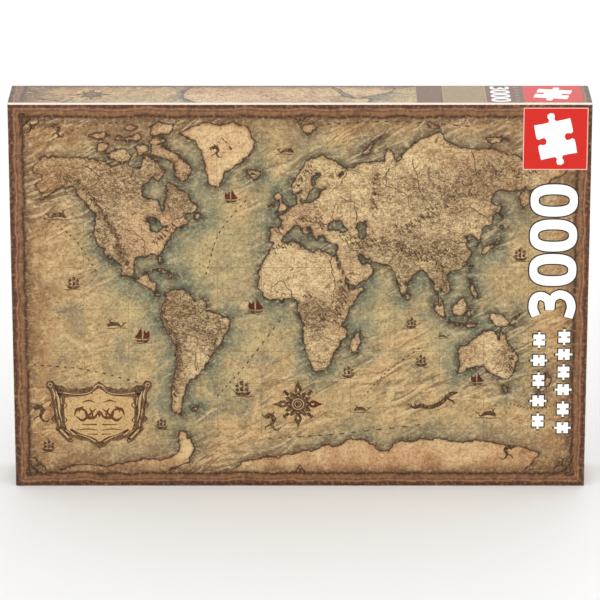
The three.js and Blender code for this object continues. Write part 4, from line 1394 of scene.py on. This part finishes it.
def film_bag(name, body, node_name):
    """A pillow bag: two sheets that meet at the seals, their half thickness less by wrinkles,
    which are waves that run in from each seal and fade, and slow waves all over."""
    low, high = corners_mm(node_name)
    middle, half = (low + high) / 2, (high - low) / 2
    s, t = np.meshgrid(np.linspace(-1, 1, 121), np.linspace(-1, 1, 151))
    u, v = np.sin(s * math.pi / 2), np.sin(t * math.pi / 2)
    full = fullness(u, v)
    from_ends = np.abs(v) ** 4 * (1 + np.sin(46 * u + 2.5 * np.sin(4 * v + 1)))
    from_sides = np.abs(u) ** 5 * (1 + np.sin(40 * v + 2.5 * np.sin(5 * u)))
    slack = 1 + np.sin(9 * u + 5 * v + 2 * np.sin(6 * v)) * np.sin(11 * v - 4 * u)
    wrinkle = FILM_FOLD * (from_ends + from_sides + 0.5 * slack)
    points = []
    rows, columns = s.shape
    quads = grid_quads(rows, columns)
    for way in (-1, 1):
        thick = (SEAL + (half[1] - SEAL) * full - wrinkle * full) * FILM_INSIDE
        grid = [middle[0] + u * half[0], middle[1] + way * thick, middle[2] + v * half[2]]
        points.append(np.stack([part.ravel() for part in grid], 1))
    # the two sheets are joined along the outermost ring of the grid
    faces = np.concatenate([quads, quads[:, ::-1] + rows * columns])
    across, up = np.arange(columns), np.arange(rows) * columns
    rim = np.concatenate([across, up[1:] + columns - 1, across[-2::-1] + up[-1], up[-2:0:-1]])
    after = np.roll(rim, -1)
    seam = np.stack([rim, rim + rows * columns, after + rows * columns, after], 1)
    mesh = mesh_of(name, np.concatenate(points), np.concatenate([faces, seam]).tolist())
    weld(mesh, outward=True)
    bag = finish_piece(name, mesh, clear_film, body)
    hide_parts(node_name)


def heap_of_pieces(name, body, node_name, seed):
    """Loose pieces in one mesh: a jittered layer for each few millimetres of the bag's depth,
    every piece turned at random about the line of sight and tilted a little. Each face has the
    attribute print: nothing on board, and a random share of 0.1 to 1 on a piece's picture."""
    low, high = corners_mm(node_name)
    random = np.random.default_rng(seed)
    outline = jigsaw_outline(steps=2)
    count = len(outline)
    per_layer = math.ceil(PIECES_IN_A_HEAP / HEAP_LAYERS)
    k = np.arange(PIECES_IN_A_HEAP)
    layer, cell = k // per_layer, k % per_layer
    room = high - low - (HEAP_START + HEAP_END)
    x = (cell % HEAP_ACROSS + 0.5 * (layer % 2) + 0.25) / HEAP_ACROSS
    z = (cell // HEAP_ACROSS + 0.5) / math.ceil(per_layer / HEAP_ACROSS)
    places = np.stack([x, (layer + 0.5) / HEAP_LAYERS, z], 1) * room + low + HEAP_START
    places += random.uniform(-1, 1, (len(k), 3)) * HEAP_JITTER
    bag_low, bag_high = corners_mm(body)
    middle, half = (bag_low + bag_high) / 2, (bag_high - bag_low) / 2
    reach = (np.abs(places - middle) + PIECE_REACH) / half
    squeeze = fullness(*np.minimum(reach[:, [0, 2]], NEAR_SEAL).T)
    places[:, 1] = middle[1] + (places[:, 1] - middle[1]) * squeeze
    spin = random.uniform(0, 2 * math.pi, len(k))
    lean = random.normal(0, 0.1, (2, len(k))) * squeeze**2
    facing = np.where(random.random(len(k)) < 0.55, -1, 1)  # of the picture, along y
    flat = np.stack([outline[:, 0], np.zeros(count), outline[:, 1]], 1) * PIECE
    half_board = (0, PIECE_BOARD / 2, 0)
    body_points = np.concatenate([flat - half_board, flat + half_board])
    cos, sin = np.cos(spin)[:, None], np.sin(spin)[:, None]
    px = cos * body_points[:, 0] - sin * body_points[:, 2]
    pz = sin * body_points[:, 0] + cos * body_points[:, 2]
    py = body_points[:, 1] + lean[0][:, None] * px + lean[1][:, None] * pz
    points = np.stack([px, py, pz], 2) + places[:, None, :]
    points[..., 1] = np.clip(points[..., 1], low[1] + 0.2, high[1] - 0.5)
    start = k * 2 * count
    i = np.arange(count)
    front = start[:, None] + i
    rear = start[:, None] + count + i[::-1]
    j = (i + 1) % count
    sides = start[:, None, None] + np.stack([i, i + count, j + count, j], 1)
    faces = front.tolist() + rear.tolist() + sides.reshape(-1, 4).tolist()
    mesh = mesh_of(name, points.reshape(-1, 3), faces)
    tint = random.uniform(0.1, 1, len(k))
    shown = np.concatenate([np.where(facing < 0, tint, 0), np.where(facing > 0, tint, 0),
                            np.zeros(len(k) * count)])
    layer_data = mesh.attributes.new("print", "FLOAT", "FACE")
    layer_data.data.foreach_set("value", shown.astype(np.float32))
    heap = finish_piece(name, mesh, die_cut_pieces, body, smooth=False)
    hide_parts(node_name)


def give_finish(names, material):
    """A finish for CAD pieces, which keep their own shape."""
    for name in names:
        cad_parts[name].material_slots[0].material = material


def print_the_leaflet():
    """Pictures only: a frame and a row of pieces that join."""
    low, high = corners_mm("leaflet")
    face = ((0, low[1], 0), (0, 0, 1), (0, -1, 0))
    middle = ((low[0] + high[0]) / 2, (low[2] + high[2]) / 2)
    lines = []
    for k in (-1, 1):
        lines.append(stroke([(-95, 64 * k), (95, 64 * k)], [0.8, 0.8], 1))
        lines.append(stroke([(95 * k, -63), (95 * k, 63)], [0.8, 0.8], 1))
    for k in range(-2, 3):
        lines += puzzle_mark((k * 34, 26), 22, 90 * k)
        lines.append(ring((k * 34, -26), 13, 12.2))
        lines += puzzle_mark((k * 34, -26), 11, 90 * k)
    print_on("leaflet_print", face, 0.6, outline_ink, placed(lines, middle), "leaflet")


# ---------------------------------------------------------------- building

brown_ink = printing_ink("brown_pen_ink", "#412a1a", "#8d6d48", 0.75)
hill_ink = printing_ink("hill_pen_ink", "#4a3523", "#9b7b50", 0.8)
faint_ink = printing_ink("faint_line_ink", "#7d6745", "#ab9468", 1)
frame_mark_ink = printing_ink("frame_mark_ink", "#3b2517", "#7d5a3c", 0.8)
strapwork_ink = printing_ink("strapwork_ink", "#7d5d3b", "#4f3823", 0.9)
rust_ink = printing_ink("rust_pen_ink", "#5d3018", "#8a5a34", 0.7)
red_brown_ink = printing_ink("red_brown_ink", "#521607", "#6e3c22", 0.7)
parchment_ink = printing_ink("parchment_ink", "#cba975", "#a07c4a", 0.8)
pale_ink = printing_ink("pale_ink", "#c9a97b", "#86694a", 0.6)
outline_ink = printing_ink("outline_ink", "#352a22", "#4a3c30", 0.3)
white_ink = printing_ink("unprinted_white_paper", "#fbfbfa", "#f3f3f1", 0.5)
label_edge_ink = printing_ink("label_edge_ink", "#f3b9ab", "#f0a698", 0.5)
label_red_ink = printing_ink("label_red_ink", "#cf2218", "#d02a20", 0.5)
olive_ink = printing_ink("olive_parchment_ink", "#9d8660", "#7f6845", 0.7)
panel_brown_ink = printing_ink("panel_brown_ink", "#684b38", "#7d5c43", 0.8)
panel_mark_ink = printing_ink("panel_mark_ink", "#937a66", "#7d6350", 0.5)
gold_ink = printing_ink("gold_line_ink", "#b4905f", "#8f6f48", 0.5)

lid = printed_sheet("lid_covering", LID_LOW, LID_HIGH, 1, varnished_map_print(), "lid",
                    lid_fields)
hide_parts("lid_wrap")
draw_the_map()
label_the_front()
label_a_wall("top", TOP_FACE, LID_WIDTH / 2)
label_a_wall("right", RIGHT_FACE, LID_HEIGHT / 2)
label_a_wall("left", LEFT_FACE, LID_HEIGHT / 2)

tray = printed_sheet("tray_covering", TRAY_LOW, TRAY_HIGH, -1, varnished_brown_print(), "tray",
                     tray_fields)
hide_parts("tray_wrap")
print_the_tray()

clear_film = clear_bag_film()
die_cut_pieces = die_cut_piece_print()
for seed, side_name in enumerate(("left", "right")):
    film_bag(f"film_bag_{side_name}", f"bag_{side_name}", f"bag_{side_name}")
    heap_of_pieces(f"loose_pieces_{side_name}", f"bag_{side_name}", f"heap_{side_name}", seed)
print_the_leaflet()
give_finish(["lid_board", "tray_board"], recycled_greyboard())
give_finish([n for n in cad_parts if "corner_stay" in n], kraft_paper())
give_finish([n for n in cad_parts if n.startswith("piece_")], front_piece_print())
give_finish(["leaflet"], leaflet_paper())


# ---------------------------------------------------------------- camera, light and floor

CAMERA_PITCH = math.radians(18)
CAMERA_DISTANCE = 3.0
FRONT_WIDTH_IN_PICTURE = 0.9762  # share of the picture that the lid's front edge spans
AIM_HEIGHT = 0.148
SENSOR = 36
FLOOR_REACH = 4000.0

scene = bpy.context.scene
aim = Vector((0, LID_LOW[1] * MM, AIM_HEIGHT))
back = Vector((0, -math.cos(CAMERA_PITCH), math.sin(CAMERA_PITCH)))
camera_data = bpy.data.cameras.new("camera")
camera = bpy.data.objects.new("camera", camera_data)
scene.collection.objects.link(camera)
camera.location = aim + back * CAMERA_DISTANCE
camera.rotation_euler = (math.pi / 2 - CAMERA_PITCH, 0, 0)
top_edge = Vector((0, LID_LOW[1] * MM, LID_HEIGHT * MM))
edge_distance = (camera.location - top_edge).dot(back)
camera_data.sensor_width = SENSOR
camera_data.lens = SENSOR * FRONT_WIDTH_IN_PICTURE * edge_distance / (LID_WIDTH * MM)
camera_data.clip_end = 50
scene.camera = camera


def soft_box(name, place, target, size, power):
    """A square area light at place that faces target."""
    data = bpy.data.lights.new(name, "AREA")
    data.size = size
    data.energy = power
    lamp = bpy.data.objects.new(name, data)
    scene.collection.objects.link(lamp)
    lamp.location = place
    lamp.rotation_euler = (Vector(target) - Vector(place)).to_track_quat("-Z", "Y").to_euler()


box_middle = (0, 0, 0.15)
soft_box("key_light", (-1.2, -2.4, 1.5), box_middle, 1.6, 13)
soft_box("fill_light", (1.8, -1.8, 1.0), box_middle, 1.8, 7)
soft_box("back_light", (0.3, 2.3, 1.2), box_middle, 1.6, 9)

world = bpy.data.worlds.new("studio")
world.use_nodes = True
world.node_tree.nodes["Background"].inputs["Color"].default_value = linear("#ffffff")
world.node_tree.nodes["Background"].inputs["Strength"].default_value = 0.97
scene.world = world
scene.view_settings.view_transform = "Standard"


def studio_floor():
    """Matt white paper sweep: only a faint contact shadow shows on it."""
    material, _, shader, _ = new_material("white_paper_sweep")
    shader.inputs["Base Color"].default_value = linear("#f7f7f6")
    shader.inputs["Roughness"].default_value = 0.9
    points = np.array([(-1, -1, 0), (1, -1, 0), (1, 1, 0), (-1, 1, 0)]) * FLOOR_REACH
    mesh = mesh_of("floor", points, [(0, 1, 2, 3)])
    mesh.materials.append(material)
    floor = bpy.data.objects.new("floor", mesh)
    scene.collection.objects.link(floor)


studio_floor()
